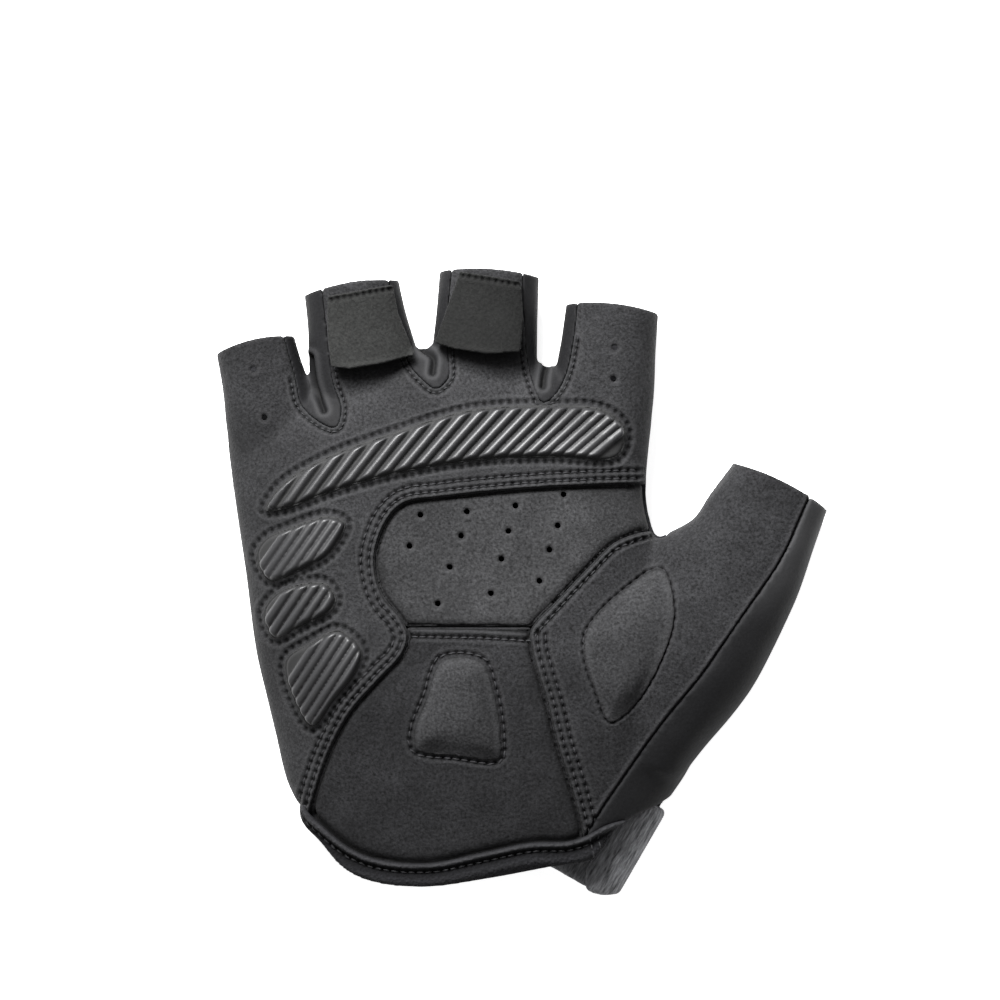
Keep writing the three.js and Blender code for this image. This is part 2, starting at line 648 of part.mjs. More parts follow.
const thumbPart = (piece) => piece.intersect(thumbSide).subtract(thumbSeam);
const backPart = uncuffed(BACK_WALL).intersect(backHalf);
const backSeam = kerf(seamLine.thumbBack, GROUND, SIDE_SEAM_HEIGHT);

// A layer on the leather inside an outline, a small gap above the wall beneath.
function onLeather(wall, outline, thickness, lift = 0) {
  const base = wall - FINGER_PANEL_WALL + SEAM_GAP + lift;
  return layer(base, base + thickness).intersect(block(outline, SIDE_SEAM_HEIGHT));
}

// A grip: a thin base with slanted ribs across it.
function grip({ ribs, slant, turn, from, to, outline }) {
  const edge = smoothLine(outline.map(mm), true);
  const inset = beside(edge, RIB_INSET, true);
  const [start, end] = [mm(from), mm(to)];
  const bars = [];
  for (let k = 0; k < ribs; k += 1) {
    const share = k / (ribs - 1);
    const place = start.clone().lerp(end, share);
    const angle = radians(slant + turn * share);
    const way = new THREE.Vector2(Math.cos(angle), Math.sin(angle));
    const ends = [-RIB_REACH, RIB_REACH].map((reach) => place.clone().addScaledVector(way, reach));
    bars.push(block([...beside(ends, RIB_WIDTH / 2), ...beside(ends, -RIB_WIDTH / 2).reverse()]));
  }
  const low = SEAM_GAP + PAD_BASE / 2;
  const ridges = layer(low, SEAM_GAP + PAD_BASE + RIB_HEIGHT)
    .intersect(block(inset, SIDE_SEAM_HEIGHT))
    .intersect(together(bars));
  return onLeather(FINGER_PANEL_WALL, edge, PAD_BASE).add(ridges);
}

// A moulded pad with a shoulder all round.
function mouldedPad(wall, outline, thickness) {
  const edge = smoothLine(outline.map(mm), true, 3);
  const crown = beside(edge, PAD_SHOULDER, true);
  return onLeather(wall, edge, thickness - PAD_SHOULDER).add(onLeather(wall, crown, thickness));
}

// A flap sewn at the rim: its free part stands off the stall.
function pullTab(outline) {
  const edge = outline.map(mm);
  const [a, b] = edge;
  const rimWay = b.clone().sub(a).normalize();
  const inward = new THREE.Vector2(rimWay.y, -rimWay.x);
  const start = a.clone().addScaledVector(rimWay, -TAB_HEM_OVERRUN);
  const end = b.clone().addScaledVector(rimWay, TAB_HEM_OVERRUN);
  const hem = [start, end, ...[end, start].map((p) => p.clone().addScaledVector(inward, TAB_HEM))];
  const sewn = onLeather(FINGER_PANEL_WALL, edge, TAB_THICKNESS + TAB_LIFT).intersect(block(hem));
  return onLeather(FINGER_PANEL_WALL, edge, TAB_THICKNESS, TAB_LIFT).add(sewn);
}

const COLOURS = {
  leather: { color: 0x464648, roughness: 0.85, metalness: 0 },
  perforated: { color: 0x545456, roughness: 0.8, metalness: 0 },
  heel: { color: 0x373739, roughness: 0.85, metalness: 0 },
  thenar: { color: 0x3d3d3f, roughness: 0.85, metalness: 0 },
  stretch: { color: 0x212123, roughness: 0.7, metalness: 0 },
  knit: { color: 0x2f2f32, roughness: 0.9, metalness: 0 },
  binding: { color: 0x343436, roughness: 0.9, metalness: 0 },
  silicone: { color: 0x3a3a3b, roughness: 0.3, metalness: 0 },
  pad: { color: 0x444446, roughness: 0.75, metalness: 0 },
  strap: { color: 0x5f6062, roughness: 0.8, metalness: 0 },
};

const glove = new THREE.Group();

// The piece itself, without the specks that crossing seam cuts leave beside it.
function withoutSpecks(piece) {
  const bodies = piece.decompose().sort((a, b) => b.volume() - a.volume());
  return together(bodies.filter((body, k) => k === 0 || body.volume() > SPECK));
}

// Adds one solid to the glove as a named mesh.
function addPiece(name, piece, colour) {
  const { vertProperties, triVerts } = withoutSpecks(piece).getMesh();
  const geometry = new THREE.BufferGeometry();
  geometry.setAttribute("position", new THREE.BufferAttribute(vertProperties, 3));
  geometry.setIndex(new THREE.BufferAttribute(triVerts, 1));
  const mesh = new THREE.Mesh(geometry, new THREE.MeshStandardMaterial(COLOURS[colour]));
  mesh.name = name;
  glove.add(mesh);
}

addPiece(
  "finger_panel",
  front(FINGER_PANEL_WALL).intersect(fingerSide).subtract(stripGround).subtract(thenarSide).subtract(vents),
  "leather",
);
addPiece(
  "perforated_panel",
  front(PERFORATED_WALL).intersect(aboveHeel).subtract(fingerSide).subtract(thenarSide).subtract(holes),
  "perforated",
);
addPiece(
  "heel_panel",
  front(PALM_WALL).intersect(belowHeel).subtract(fingerSide).subtract(thenarSide),
  "heel",
);
addPiece(
  "thenar_panel",
  front(PALM_WALL).intersect(thenarSide).subtract(thumbSide).subtract(thumbSeam),
  "thenar",
);
addPiece(
  "thumb_back_panel",
  backPart.intersect(thumbBackSide).subtract(backSeam)
    .add(thumbPart(uncuffed(BACK_WALL).intersect(block(everywhere, SIDE_SEAM_HEIGHT - SEAM_GAP)))),
  "stretch",
);
addPiece("back_panel", backPart.subtract(thumbBackSide).subtract(backSeam).subtract(stripGround), "knit");
for (const { name, ground, cut } of strips) {
  addPiece(name, uncuffed(STRETCH_WALL).intersect(ground).subtract(cut), "stretch");
}
addPiece(
  "cuff_binding",
  walled(BINDING_WALL).intersect(cuffSide).subtract(bindingSeam).subtract(strapRoom),
  "binding",
);
addPiece("wrist_strap", strap(), "strap");
for (const pad of GRIPS) addPiece(pad.name, grip(pad), "silicone");
addPiece("heel_pad", mouldedPad(PALM_WALL, HEEL_PAD_OUTLINE, HEEL_PAD_THICKNESS), "pad");
addPiece("thenar_pad", mouldedPad(PALM_WALL, THENAR_PAD_OUTLINE, THENAR_PAD_THICKNESS), "pad");
for (const { name, outline } of TABS) addPiece(name, pullTab(outline), "pad");

// The origin is the middle of the glove's outline, at the height of the ground.
const bounds = new THREE.Box3().setFromObject(glove);
const middle = bounds.getCenter(new THREE.Vector3());
glove.position.set(-middle.x, -middle.y, -bounds.min.z);

export default glove;
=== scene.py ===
"""A half-finger cycling glove for the right hand, lying on its back with the palm up.

Places on the palm are shares: u of the palm's breadth from its centre line, and v of the palm's length
from the lowest edge of the cuff. Sizes are named in millimetres and the meshes are in metres.
"""

import json
import logging
import math
import random
from collections.abc import Callable, Iterator, Sequence
from contextlib import contextmanager
from dataclasses import dataclass, field
from enum import Enum

import bmesh
import bpy
import numpy as np
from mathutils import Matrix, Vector
from mathutils.bvhtree import BVHTree
from mathutils.kdtree import KDTree

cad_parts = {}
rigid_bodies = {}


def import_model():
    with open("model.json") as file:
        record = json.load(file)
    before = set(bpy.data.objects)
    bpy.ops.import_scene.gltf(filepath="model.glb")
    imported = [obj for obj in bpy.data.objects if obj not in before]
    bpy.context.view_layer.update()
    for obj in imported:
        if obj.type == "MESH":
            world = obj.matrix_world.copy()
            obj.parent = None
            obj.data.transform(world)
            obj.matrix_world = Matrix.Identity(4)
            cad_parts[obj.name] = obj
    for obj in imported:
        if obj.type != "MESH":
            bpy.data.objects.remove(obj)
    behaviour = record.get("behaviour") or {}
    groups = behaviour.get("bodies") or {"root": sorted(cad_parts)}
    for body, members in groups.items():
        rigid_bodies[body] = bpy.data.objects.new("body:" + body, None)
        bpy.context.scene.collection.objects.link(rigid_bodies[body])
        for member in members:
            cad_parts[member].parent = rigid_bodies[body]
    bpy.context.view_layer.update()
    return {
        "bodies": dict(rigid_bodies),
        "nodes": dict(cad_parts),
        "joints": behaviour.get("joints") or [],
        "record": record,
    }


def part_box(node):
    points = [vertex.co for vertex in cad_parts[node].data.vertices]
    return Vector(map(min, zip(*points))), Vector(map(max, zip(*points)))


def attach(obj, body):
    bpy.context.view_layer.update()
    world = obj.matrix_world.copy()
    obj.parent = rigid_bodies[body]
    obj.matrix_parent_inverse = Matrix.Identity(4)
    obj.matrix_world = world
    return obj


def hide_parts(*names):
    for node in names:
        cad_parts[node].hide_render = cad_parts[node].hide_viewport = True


LOG = logging.getLogger("glove")
MM = 0.001

# The hand's own sizes, in millimetres
PALM_BREADTH = 96.8
PALM_LENGTH = 125.3
PALM_DEPTH = 27
STALL_TAIL = 26
THUMB_WIDTH = 23.2
THUMB_LENGTH = 72.5
THUMB_DEPTH = 20
THUMB_LEAN = 27
THUMB_BASE = (0.487, 0.226)

# Walls and seams
WALL = 2
PERFORATED_WALL = 1.2
PALM_WALL = 1.6
BACK_WALL = 1.5
BINDING_WALL = 2.7
SEAM_GAP = 0.3
RIM_BOW = 1.1
SIDE_SEAM_HEIGHT = 10
FOURCHETTE_SEAM_HEIGHT = 5
STRAP_THICKNESS = 1.8
STRAP_WIDTH = 25
STRAP_PLACE = (0.398, 0.083)
STRAP_HEADING = -30
STRAP_TOP_FROM = 5.1
STRAP_BEND = (1.2, 14)
STRAP_LAP = 0.6
BACK_LIFT_ENDS = (0.38, 0.47)
PAST_MOUTH = 4
RIM_REACH = 1.25
RIM_CLEAR = 9
LITTLE_BOUND, THUMB_BOUND, CUFF_BOUND = -0.6, 0.9, -0.3
GROUND = -1
TALL = 60
WIDEST_LEVEL = 0.38
STALL_WIDEST_LEVEL = 0.5
ROUNDED_TOP = 2.5
ROUNDED_BOTTOM = 3
BOTTOM_FULLNESS = 1.15
SWELL_FALL = 1.4

# Where the soft band gives way at its little-finger end: the place, how far it moves and how widely
CUFF_NUDGES = (((-0.355, 0.165), (2.2, 0.0), 2.8), ((-0.335, 0.1), (-0.7, -0.3), 3.0))

# Where painted shade darkens the leather towards the little finger, and where a painted highlight lightens
# the thumb's fabric towards its rim
LITTLE_SIDE = (0.28, 0.46)
THUMB_PAINTED_LIGHT = (0.46, 0.66)

# The slow waves of soft leather, in millimetres
WAVE_SEED = 7
WAVE_COUNT = 9
WAVE_LENGTHS = (7, 22)
WAVE_HEIGHT = 0.035

# The pull tab's corner at the low end of X and of Y, which ties the palm's shares to the frame
TAB_CORNER = (-0.015, 0.989)

Place = tuple[float, float]
Outline = Sequence[Place]
Rows = tuple[dict[str, float], ...]


def rows(names: str, *values: Sequence[float]) -> Rows:
    """A table with named columns.

    Args:
        names: The columns' names, with spaces between.
        values: One sequence of numbers for each row.

    Returns:
        A dictionary for each row.
    """
    return tuple(dict(zip(names.split(), row, strict=True)) for row in values)


STALL_SECTIONS = rows(
    "at spread deep lift",
    (0, 0, 1, 0.13),
    (0.2, 0.3, 1.03, 0.08),
    (0.42, 1, 1.08, 0.02),
    (0.7, 1, 1.05, 0),
    (1, 0.5, 0.9, 0.03),
)
THUMB_SECTIONS = rows(
    "at outer inner deep lift",
    (0, 0.8, 0.95, 1.02, 0.04),
    (0.13, 0.95, 1.1, 1.15, 0.02),
    (0.27, 1.16, 1.3, 1.24, 0),
    (0.38, 1.27, 1.5, 1.28, 0),
    (0.5, 1.29, 1.68, 1.26, 0),
    (0.665, 1.265, 1.72, 1.16, 0.02),
    (0.72, 1.24, 1.5, 1.12, 0.03),
    (0.78, 1.19, 1.26, 1.08, 0.05),
    (0.86, 1.11, 1.21, 1.04, 0.08),
    (1, 0.99, 1.06, 1, 0.12),
)
PALM_SECTIONS = rows(
    "at little thumb deep",
    (0, -0.326, 0.492, 0.78),
    (0.055, -0.33, 0.53, 0.83),
    (0.085, -0.366, 0.56, 0.85),
    (0.116, -0.38, 0.59, 0.87),
    (0.18, -0.394, 0.628, 0.91),
    (0.28, -0.417, 0.625, 0.96),
    (0.41, -0.446, 0.6, 1),
    (0.6, -0.47, 0.545, 0.99),
    (0.76, -0.493, 0.495, 0.93),
    (0.88, -0.509, 0.5, 0.84),
    (0.95, -0.516, 0.508, 0.72),
    (0.985, -0.515, 0.505, 0.6),
    (1, -0.505, 0.495, 0.48),
)
CUFF_EDGE = rows(
    "at v",
    (-0.379, 0.158),
    (-0.333, 0.116),
    (-0.24, 0.036),
    (-0.16, 0.006),
    (-0.027, -0.002),
    (0.119, 0.013),
    (0.265, 0.034),
    (0.391, 0.051),
    (0.451, 0.09),
    (0.629, 0.158),
)
FORK_LINE = rows(
    "at v",
    (-0.524, 0.87),
    (-0.31, 0.914),
    (-0.043, 1.003),
    (0.253, 0.97),
    (0.512, 0.908),
)
SWELLS = rows(
    "u v reach height",
    (0.063, 0.6, 0.26, -2.5),
    (0.45, 0.44, 0.27, 3.2),
    (-0.34, 0.46, 0.24, 1.5),
)


@dataclass(frozen=True)
class Finger:
    """One finger stall's place on the fork line and its sizes in millimetres and degrees."""

    u: float
    v: float
    width: float
    length: float
    depth: float
    lean: float
    flare: float


FINGERS = {
    "little": Finger(-0.408, 0.861, 17.9, 19, 15.5, 13, 1.2),
    "ring": Finger(-0.194, 1.0, 21.6, 14.6, 17, 9, 1.15),
    "middle": Finger(0.104, 0.976, 22.6, 20.6, 18, -3.5, 1.06),
    "index": Finger(0.396, 0.931, 21, 18.2, 17.5, -6, 1.09),
}

SEAMS: dict[str, Outline] = {
    "finger_panel": (
        (0.7, 0.75), (0.386, 0.745), (0.192, 0.737), (-0.002, 0.722), (-0.087, 0.711), (-0.129, 0.679),
        (-0.158, 0.61), (-0.141, 0.544), (-0.095, 0.497), (-0.078, 0.465), (-0.092, 0.43),
        (-0.148, 0.383), (-0.216, 0.323), (-0.262, 0.259), (-0.294, 0.195), (-0.323, 0.111),
        (-0.37, -0.1),
    ),
    "thenar": (
        (0.6, 1.3), (0.6, 0.73), (0.556, 0.672), (0.464, 0.653), (0.415, 0.636), (0.362, 0.597),
        (0.289, 0.538), (0.216, 0.475), (0.218, 0.443), (0.235, 0.392), (0.257, 0.336), (0.279, 0.266),
        (0.308, 0.195), (0.33, 0.135), (0.352, 0.054), (0.36, -0.1),
    ),
    "thumb_side": (
        (0.96, 0.83), (0.886, 0.715), (0.823, 0.608), (0.714, 0.486), (0.629, 0.392), (0.544, 0.311),
        (0.464, 0.225), (0.376, 0.124), (0.337, 0.064), (0.32, -0.1),
    ),
    "thumb_back": (
        (0.6, 1.3), (0.6, 0.73), (0.561, 0.668), (0.519, 0.608), (0.483, 0.495), (0.447, 0.345),
        (0.41, 0.214), (0.386, 0.083), (0.376, -0.1),
    ),
    "binding": (
        (-0.6, 0.3), (-0.391, 0.195), (-0.335, 0.146), (-0.299, 0.118), (-0.221, 0.069),
        (-0.148, 0.047), (-0.027, 0.041), (0.095, 0.06), (0.216, 0.079), (0.301, 0.081),
        (0.345, 0.09), (0.4, 0.112), (0.46, 0.122), (0.54, 0.115), (0.8, 0.06),
    ),
}  # fmt: skip
HEEL_SEAM = ((-0.082, 0.481), (0.1, 0.478), (0.214, 0.473))
HEEL_SEAM_V = 0.481
FOURCHETTES: dict[str, Outline] = {
    "fourchette_little_ring": (
        (-0.391, 1.049), (-0.355, 0.946), (-0.335, 0.89), (-0.255, 0.852), (-0.24, 0.886),
        (-0.26, 0.936), (-0.274, 1.021), (-0.289, 1.124),
    ),
    "fourchette_ring_middle": (
        (-0.133, 1.148), (-0.114, 1.077), (-0.1, 1.015), (-0.078, 0.972), (-0.048, 0.944),
        (-0.012, 0.925), (0.019, 0.946), (0.019, 0.987), (0.015, 1.039), (0.029, 1.167),
    ),
    "fourchette_middle_index": (
        (0.197, 1.156), (0.199, 1.077), (0.206, 0.987), (0.221, 0.936), (0.245, 0.9), (0.27, 0.908),
        (0.303, 0.952), (0.322, 1.02), (0.333, 1.099),
    ),
}  # fmt: skip
SLITS = {
    "fourchette_little_ring": ((-0.316, 0.985), (-0.305, 0.93), (-0.283, 0.885)),
    "fourchette_ring_middle": ((-0.045, 1.0), (-0.019, 0.984), (-0.02, 0.955)),
    "fourchette_middle_index": ((0.262, 0.995), (0.25, 0.95), (0.247, 0.93)),
}
VENTS = ((-0.454, 0.962), (-0.427, 0.872), (0.42, 1.002), (0.417, 0.944))
PERFORATIONS = (
    (-0.049, 0.69), (-0.075, 0.632), (0.063, 0.696), (0.049, 0.651), (0.022, 0.593), (-0.007, 0.525),
    (0.18, 0.707), (0.163, 0.66), (0.146, 0.608), (0.121, 0.544), (0.296, 0.728), (0.282, 0.67),
    (0.262, 0.625), (0.238, 0.567),
)  # fmt: skip
STRAP_EDGE = (
    (0.6, 0.165), (0.556, 0.158), (0.5244, 0.1444), (0.4661, 0.1238), (0.4127, 0.0938),
    (0.3812, 0.0581), (0.3642, 0.0281), (0.3642, -0.1),
)  # fmt: skip


@dataclass(frozen=True)
class Grip:
    """A ribbed grip: its ribs run from one end of it to the other, slanting by degrees to X."""

    ribs: int
    slant: float
    turn: float
    first: Place
    last: Place
    outline: Outline


GRIPS = {
    "grip_pad_knuckle": Grip(
        21, 55, -15, (-0.405, 0.712), (0.43, 0.842),
        (
            (-0.425, 0.698), (-0.391, 0.743), (-0.286, 0.795), (-0.107, 0.846), (0.066, 0.886),
            (0.245, 0.895), (0.398, 0.886), (0.449, 0.848), (0.427, 0.797), (0.272, 0.797),
            (0.102, 0.792), (-0.1, 0.767), (-0.252, 0.735), (-0.379, 0.7),
        ),
    ),
    "grip_pad_side_upper": Grip(
        6, 55, 0, (-0.425, 0.6), (-0.245, 0.66),
        (
            (-0.447, 0.615), (-0.425, 0.645), (-0.362, 0.668), (-0.269, 0.689), (-0.228, 0.675),
            (-0.25, 0.634), (-0.274, 0.612), (-0.33, 0.589), (-0.415, 0.565),
        ),
    ),
    "grip_pad_side_middle": Grip(
        5, 56, 0, (-0.41, 0.5), (-0.265, 0.535),
        (
            (-0.43, 0.507), (-0.4, 0.542), (-0.337, 0.563), (-0.274, 0.563), (-0.25, 0.533),
            (-0.265, 0.51), (-0.335, 0.482), (-0.403, 0.458),
        ),
    ),
    "grip_pad_side_lower": Grip(
        6, 57, 0, (-0.365, 0.375), (-0.2, 0.42),
        (
            (-0.376, 0.418), (-0.313, 0.454), (-0.245, 0.477), (-0.187, 0.439), (-0.204, 0.394),
            (-0.25, 0.349), (-0.311, 0.293), (-0.354, 0.34),
        ),
    ),
}  # fmt: skip
HEEL_PAD = (
    (0.0, 0.422), (0.1, 0.42), (0.129, 0.368), (0.148, 0.28), (0.141, 0.236), (0.034, 0.24),
    (-0.063, 0.253), (-0.068, 0.289), (-0.039, 0.349),
)  # fmt: skip
THENAR_PAD = (
    (0.534, 0.593), (0.444, 0.557), (0.345, 0.475), (0.342, 0.422), (0.371, 0.356), (0.405, 0.302),
    (0.466, 0.332), (0.532, 0.417), (0.566, 0.51),
)  # fmt: skip
PULL_TABS: dict[str, Outline] = {
    "pull_tab_ring": (
        (-0.274, 1.098), (-0.117, 1.12), (-0.104, 1.068), (-0.063, 0.989), (-0.141, 0.972),
        (-0.221, 0.962), (-0.265, 0.966), (-0.274, 1.03),
    ),
    "pull_tab_middle": (
        (0.046, 1.144), (0.192, 1.126), (0.199, 1.058), (0.192, 0.994), (0.112, 0.989),
        (0.029, 1.0), (-0.015, 1.011), (0.015, 1.077),
    ),
}  # fmt: skip


class Slot(Enum):
    """The record's material slots, which pick a piece's finish unless it is given its own."""

    LEATHER = "leather"
    PERFORATED = "perforated"
    HEEL = "heel"
    THENAR = "thenar"
    STRETCH = "stretch"
    KNIT = "knit"
    BINDING = "binding"
    SILICONE = "silicone"
    PAD = "pad"
    STRAP = "strap"


class Weave(Enum):
    """What a finish's fine relief looks like."""

    SUEDE = "suede"
    MESH = "mesh"
    SMOOTH = "smooth"
    TERRY = "terry"


@dataclass(frozen=True)
class Front:
    """One palm panel: its node and piece, how it is cut, and the rows, seams and holes that mark it.

    The edges say whether the panel lies over its neighbour at a seam.
    """

    node: str
    piece: str
    slot: Slot
    wall: float
    kept: str
    cuts: Sequence[str]
    rows: Sequence[str]
    edges: dict[str, bool]
    holes: Outline = ()
    between_stalls: bool = False


INNER_CUTS = ("finger_side", "finger_kerf", "thenar_side", "thenar_kerf")
FRONTS = (
    Front(
        "finger_panel", "palm_finger_leather", Slot.LEATHER, WALL, "finger_side",
        ("finger_kerf", "thenar_kerf", "thenar_side"),
        ("finger_near", "finger_far", *GRIPS, *FOURCHETTES), {"finger_panel": True}, VENTS, True,
    ),
    Front(
        "perforated_panel", "palm_centre_leather", Slot.PERFORATED, PERFORATED_WALL, "above_heel",
        INNER_CUTS, (), {"heel": False, "finger_panel": False, "thenar": False}, PERFORATIONS,
    ),
    Front(
        "heel_panel", "palm_heel_leather", Slot.HEEL, PALM_WALL, "below_heel", INNER_CUTS,
        ("heel_seam", "heel_pad"),
        {"heel": True, "finger_panel": False, "thenar": False, "binding": False},
    ),
    Front(
        "thenar_panel", "thumb_ball_leather", Slot.THENAR, PALM_WALL, "thenar_side",
        ("thenar_kerf", "thumb_side", "thumb_kerf"),
        ("thenar_upper", "thenar_lower_near", "thenar_lower_far", "thenar_pad"),
        {"thenar": True, "thumb_side": True},
    ),
)  # fmt: skip


# What the builder's hands do: selecting, adding, cutting and finishing meshes


def deselect() -> None:
    """Leaves nothing selected."""
    bpy.ops.object.select_all(action="DESELECT")


def take(*objects: bpy.types.Object) -> bpy.types.Object:
    """Selects objects and nothing else, and makes the first one active.

    Args:
        objects: The objects to take.

    Returns:
        The active object.
    """
    deselect()
    for item in objects:
        item.select_set(True)
    bpy.context.view_layer.objects.active = objects[0]
    return objects[0]


@contextmanager
def edit_mode(item: bpy.types.Object) -> Iterator[None]:
    """Edit mode on one object, with all of its mesh selected."""
    take(item)
    bpy.ops.object.mode_set(mode="EDIT")
    bpy.ops.mesh.select_all(action="SELECT")
    yield
    bpy.ops.object.mode_set(mode="OBJECT")


def apply_modifier(item: bpy.types.Object, kind: str, **settings: object) -> None:
    """Adds one modifier, sets it and applies it.

    Args:
        item: The object that takes it.
        kind: Blender's name for the modifier.
        settings: The modifier's values.
    """
    take(item)
    modifier = item.modifiers.new(kind.lower(), kind)
    for key, value in settings.items():
        setattr(modifier, key, value)
    bpy.ops.object.modifier_apply(modifier=modifier.name)


def coordinates(item: bpy.types.Object) -> np.ndarray:
    """The object's vertices as rows of x, y and z."""
    found = np.empty(len(item.data.vertices) * 3, np.float32)
    item.data.vertices.foreach_get("co", found)
    return found.reshape(-1, 3)


def directions(item: bpy.types.Object) -> np.ndarray:
    """The object's vertex normals as rows of x, y and z."""
    found = np.empty(len(item.data.vertices) * 3, np.float32)
    item.data.vertex_normals.foreach_get("vector", found)
    return found.reshape(-1, 3)


def put_back(item: bpy.types.Object, points: np.ndarray) -> None:
    """Writes moved vertices back to their mesh."""
    item.data.vertices.foreach_set("co", np.ascontiguousarray(points, np.float32).ravel())
    item.data.update()


def smooth_column(table: Rows, column: str) -> Callable[[float], float]:
    """The smooth value of one column of a table at a place between its rows.

    Args:
        table: Rows with a column named at.
        column: The column to read.

    Returns:
        A function of at.
    """
    last = len(table) - 1

    def slope(k: int) -> float:
        """The column's slope at a row."""
        before, after = table[max(k - 1, 0)], table[min(k + 1, last)]
        return (after[column] - before[column]) / (after["at"] - before["at"])

    def value(at: float) -> float:
        """The column's value at a place."""
        if at <= table[0]["at"]:
            return table[0][column]
        if at >= table[last]["at"]:
            return table[last][column]
        i = 0
        while table[i + 1]["at"] < at:
            i += 1
        span = table[i + 1]["at"] - table[i]["at"]
        t = (at - table[i]["at"]) / span
        rise = table[i + 1][column] - table[i][column]
        bend = (1 - t) * (slope(i) * span - rise) - t * (slope(i + 1) * span - rise)
        return table[i][column] + rise * t + t * (1 - t) * bend

    return value


def ramp(values: np.ndarray | float, low: float, high: float) -> np.ndarray:
    """A smooth step from 0 at low to 1 at high."""
    t = np.clip((np.asarray(values, np.float32) - low) / (high - low), 0, 1)
    return t * t * (3 - 2 * t)


def bell(values: np.ndarray, width: float) -> np.ndarray:
    """A smooth bump of height 1 at zero that fades over the width."""
    return np.exp(-((values / width) ** 2))


def nudge(work: "Work", place: Place, by: Place, reach: float) -> None:
    """Moves the skin near a place sideways, less and less with the distance.

    Args:
        work: The form.
        place: The place, as shares of the palm.
        by: How far it moves, in millimetres.
        reach: How widely it moves, in millimetres.
    """
    gap = np.linalg.norm(work.points()[:, :2] - Work.plan.spot(place), axis=1)
    work.shift(bell(gap, reach), np.array([[by[0], by[1], 0]], np.float32))


class Plan:
    """Turns shares of the palm into places in millimetres, from the middle of the cuff's lowest edge."""

    def spot(self, place: Place) -> np.ndarray:
        """The millimetre place of a share."""
        return np.array([place[0] * PALM_BREADTH, place[1] * PALM_LENGTH])

    def outline(self, places: Outline) -> np.ndarray:
        """The millimetre places of shares, one row each."""
        return np.array([self.spot(place) for place in places])

    def curve(self, places: Outline, closed: bool = False, per_span: int = 6) -> np.ndarray:
        """A smooth line through places given as shares.

        Args:
            places: The shares that it goes through.
            closed: Whether it comes back to its start.
            per_span: How many steps there are between two places.

        Returns:
            The line's points in millimetres.
        """
        return smooth_line(self.outline(places), closed, per_span)


def smooth_line(points: np.ndarray, closed: bool = False, per_span: int = 6) -> np.ndarray:
    """A smooth line through points, centripetal so that it doesn't loop.

    Args:
        points: The points that it goes through.
        closed: Whether it comes back to its start.
        per_span: How many steps there are between two points.

    Returns:
        The line's points.
    """
    count = len(points)
    spans = count if closed else count - 1
    line = []
    for i in range(spans):
        b, c = points[i], points[(i + 1) % count]
        a = points[i - 1] if closed or i else 2 * b - c
        d = points[(i + 2) % count] if closed or i + 2 < count else 2 * c - b
        ab, bc, cd = (math.sqrt(float(np.linalg.norm(q - p))) or 1e-6 for p, q in ((a, b), (b, c), (c, d)))
        start = (b - a) / ab - (c - a) / (ab + bc) + (c - b) / bc
        end = (c - b) / bc - (d - b) / (bc + cd) + (d - c) / cd
        for k in range(per_span):
            t = k / per_span
            line.append(
                b * (2 * t**3 - 3 * t**2 + 1)
                + start * bc * (t**3 - 2 * t**2 + t)
                + c * (3 * t**2 - 2 * t**3)
                + end * bc * (t**3 - t**2)
            )
    if not closed:
        line.append(points[-1])
    return np.array(line)


def beside(line: np.ndarray, distance: float, closed: bool = False) -> np.ndarray:
    """A line moved sideways; a positive distance lies to the right of its run.

    Args:
        line: The line's points.
        distance: How far it moves.
        closed: Whether the line is closed.

    Returns:
        The moved line's points.
    """
    if closed:
        way = np.roll(line, -1, 0) - np.roll(line, 1, 0)
    else:
        way = np.gradient(line, axis=0)
    way /= np.linalg.norm(way, axis=1, keepdims=True)
    return line + distance * np.stack([way[:, 1], -way[:, 0]], 1)


def spaced(line: np.ndarray, pitch: float, closed: bool = False) -> tuple[np.ndarray, np.ndarray]:
    """Places at an even pitch along a line.

    Args:
        line: The line's points.
        pitch: The distance between two places.
        closed: Whether the line is closed.

    Returns:
        The places, and the line's direction at each.
    """
    whole = np.vstack([line, line[:1]]) if closed else line
    steps = np.linalg.norm(np.diff(whole, axis=0), axis=1)
    along = np.concatenate([[0], np.cumsum(steps)])
    count = max(int(round(along[-1] / pitch)), 1)
    at = (np.arange(count) + (0 if closed else 0.5)) * along[-1] / count
    found = np.stack([np.interp(at, along, whole[:, k]) for k in range(2)], 1)
    ahead = np.stack([np.interp(at + pitch * 0.2, along, whole[:, k]) for k in range(2)], 1)
    behind = np.stack([np.interp(at - pitch * 0.2, along, whole[:, k]) for k in range(2)], 1)
    way = ahead - behind
    return found, way / np.maximum(np.linalg.norm(way, axis=1, keepdims=True), 1e-9)


def away_from(points: np.ndarray, line: np.ndarray, closed: bool = False) -> tuple[np.ndarray, np.ndarray]:
    """How far points are from a line, and on which side.

    Args:
        points: Rows that start with x and y.
        line: The line's points.
        closed: Whether the line is closed.

    Returns:
        The distance, and the same distance with a minus where the point lies to the line's left.
    """
    ends = np.roll(line, -1, 0) if closed else line[1:]
    starts = line if closed else line[:-1]
    nearest = np.full(len(points), np.inf, np.float32)
    sided = np.full(len(points), np.inf, np.float32)
    x, y = points[:, 0], points[:, 1]
    for (ax, ay), (bx, by) in zip(starts.astype(np.float32), ends.astype(np.float32)):
        dx, dy = bx - ax, by - ay
        t = np.clip(((x - ax) * dx + (y - ay) * dy) / max(dx * dx + dy * dy, 1e-9), 0, 1)
        gap = np.hypot(x - ax - t * dx, y - ay - t * dy)
        closer = gap < nearest
        side = np.where((x - ax) * dy - (y - ay) * dx >= 0, 1, -1)
        nearest = np.where(closer, gap, nearest)
        sided = np.where(closer, side * gap, sided)
    return nearest, sided


